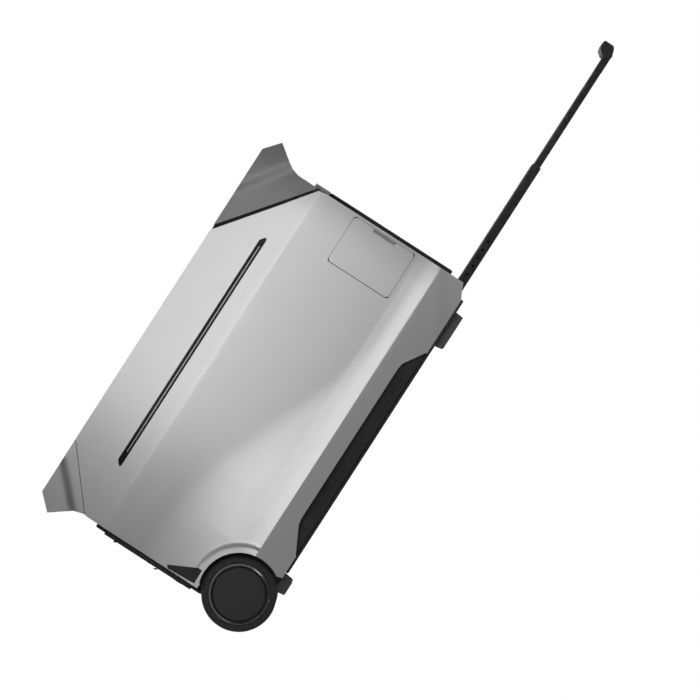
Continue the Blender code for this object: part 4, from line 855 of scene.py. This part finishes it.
scene = bpy.context.scene
world = bpy.data.worlds.new("studio")
scene.world = world
world.use_nodes = True
nodes, links = world.node_tree.nodes, world.node_tree.links
nodes.clear()
out = nodes.new("ShaderNodeOutputWorld")
mix = nodes.new("ShaderNodeMixShader")
white = nodes.new("ShaderNodeBackground")
white.inputs["Color"].default_value = (1, 1, 1, 1)
white.inputs["Strength"].default_value = 1.0
room = nodes.new("ShaderNodeBackground")
ROOM_FRONT, ROOM_BACK = 0.04, 0.55
path = nodes.new("ShaderNodeLightPath")
coord = nodes.new("ShaderNodeTexCoord")
split = nodes.new("ShaderNodeSeparateXYZ")
ramp = nodes.new("ShaderNodeValToRGB")
links.new(coord.outputs["Generated"], split.inputs["Vector"])
height = nodes.new("ShaderNodeMapRange")
height.inputs["From Min"].default_value = -1
height.inputs["From Max"].default_value = 1
links.new(split.outputs["Z"], height.inputs["Value"])
links.new(height.outputs["Result"], ramp.inputs["Fac"])
stops = [(0.0, 0.30), (0.42, 0.34), (0.50, 0.42), (0.62, 0.60), (0.80, 0.95), (1.0, 1.0)]
ramp.color_ramp.elements[0].position, ramp.color_ramp.elements[1].position = stops[0][0], stops[-1][0]
ramp.color_ramp.elements[0].color = (*(stops[0][1],) * 3, 1)
ramp.color_ramp.elements[1].color = (*(stops[-1][1],) * 3, 1)
for position, value in stops[1:-1]:
    ramp.color_ramp.elements.new(position).color = (value, value, value, 1)
links.new(ramp.outputs["Color"], room.inputs["Color"])
side = nodes.new("ShaderNodeMapRange")
side.inputs["From Min"].default_value = 0.0
side.inputs["From Max"].default_value = 0.5
side.inputs["To Min"].default_value = ROOM_FRONT
side.inputs["To Max"].default_value = ROOM_BACK
links.new(split.outputs["Y"], side.inputs["Value"])
links.new(side.outputs["Result"], room.inputs["Strength"])
links.new(path.outputs["Is Camera Ray"], mix.inputs["Fac"])
links.new(room.outputs["Background"], mix.inputs[1])
links.new(white.outputs["Background"], mix.inputs[2])
links.new(mix.outputs["Shader"], out.inputs["Surface"])


FRONT_LIGHTS = [(0, 12, 3.05), (0, 35, 2.1), (20, 12, 1.05), (-20, 12, 0.7), (-20, 35, 0.4)]


def softbox(name, location, target, size, power, size_y=None):
    data = bpy.data.lights.new(name, "AREA")
    data.shape = "RECTANGLE"
    data.size = size
    data.size_y = size_y or size
    data.energy = power
    obj = bpy.data.objects.new(name, data)
    scene.collection.objects.link(obj)
    obj.location = location
    obj.rotation_euler = (Vector(target) - Vector(location)).to_track_quat("-Z", "Y").to_euler()
    return obj


def around(name, azimuth, elevation, size, power, distance=1.9):
    """A softbox at a bearing round the object: 0 is in front of its right side, 90 is off its pull-handle end."""
    a, e = math.radians(azimuth), math.radians(elevation)
    centre = Vector((-0.12, 0, 0.18))
    place_at = centre + distance * Vector((math.sin(a) * math.cos(e), -math.cos(a) * math.cos(e), math.sin(e)))
    return softbox(name, place_at, centre, size, power)


for azimuth, elevation, power in FRONT_LIGHTS:
    around(f"front_{azimuth}_{elevation}", azimuth, elevation, 0.8, power)
around("end_front", 62, 3, 0.42, 1.8, 2.2)
around("end_rear", -62, 3, 0.42, 1.8, 2.2)
around("back", 180, 30, 1.6, 9.0, 2.4)
around("back_left", 135, 20, 0.9, 4.0, 2.2)
around("back_right", -135, 20, 0.9, 4.0, 2.2)
softbox("overhead", (-0.1, 0.75, 2.1), (-0.1, 0.05, 0.3), 1.4, 8.0)

scene.view_settings.view_transform = "Standard"
scene.view_settings.look = "None"
lens = bpy.data.cameras.new("camera")
camera = bpy.data.objects.new("camera", lens)
scene.collection.objects.link(camera)
scene.camera = camera
DISTANCE, FRAME_WIDTH, TILT = 14.0, 1.008, math.radians(57.2)
lens.type = "PERSP"
lens.sensor_width = 36
lens.lens = 36 * (DISTANCE - 0.131) / FRAME_WIDTH
lens.clip_start, lens.clip_end = 1.0, 60.0
aim = Vector((-0.0698, 0, 0.1121))
right = Vector((math.cos(TILT), 0, -math.sin(TILT)))
up = Vector((math.sin(TILT), 0, math.cos(TILT)))
back = Vector((0, -1, 0))
camera.matrix_world = Matrix.Translation(aim + back * DISTANCE) @ Matrix((right, up, back)).transposed().to_4x4()

bpy.context.view_layer.update()
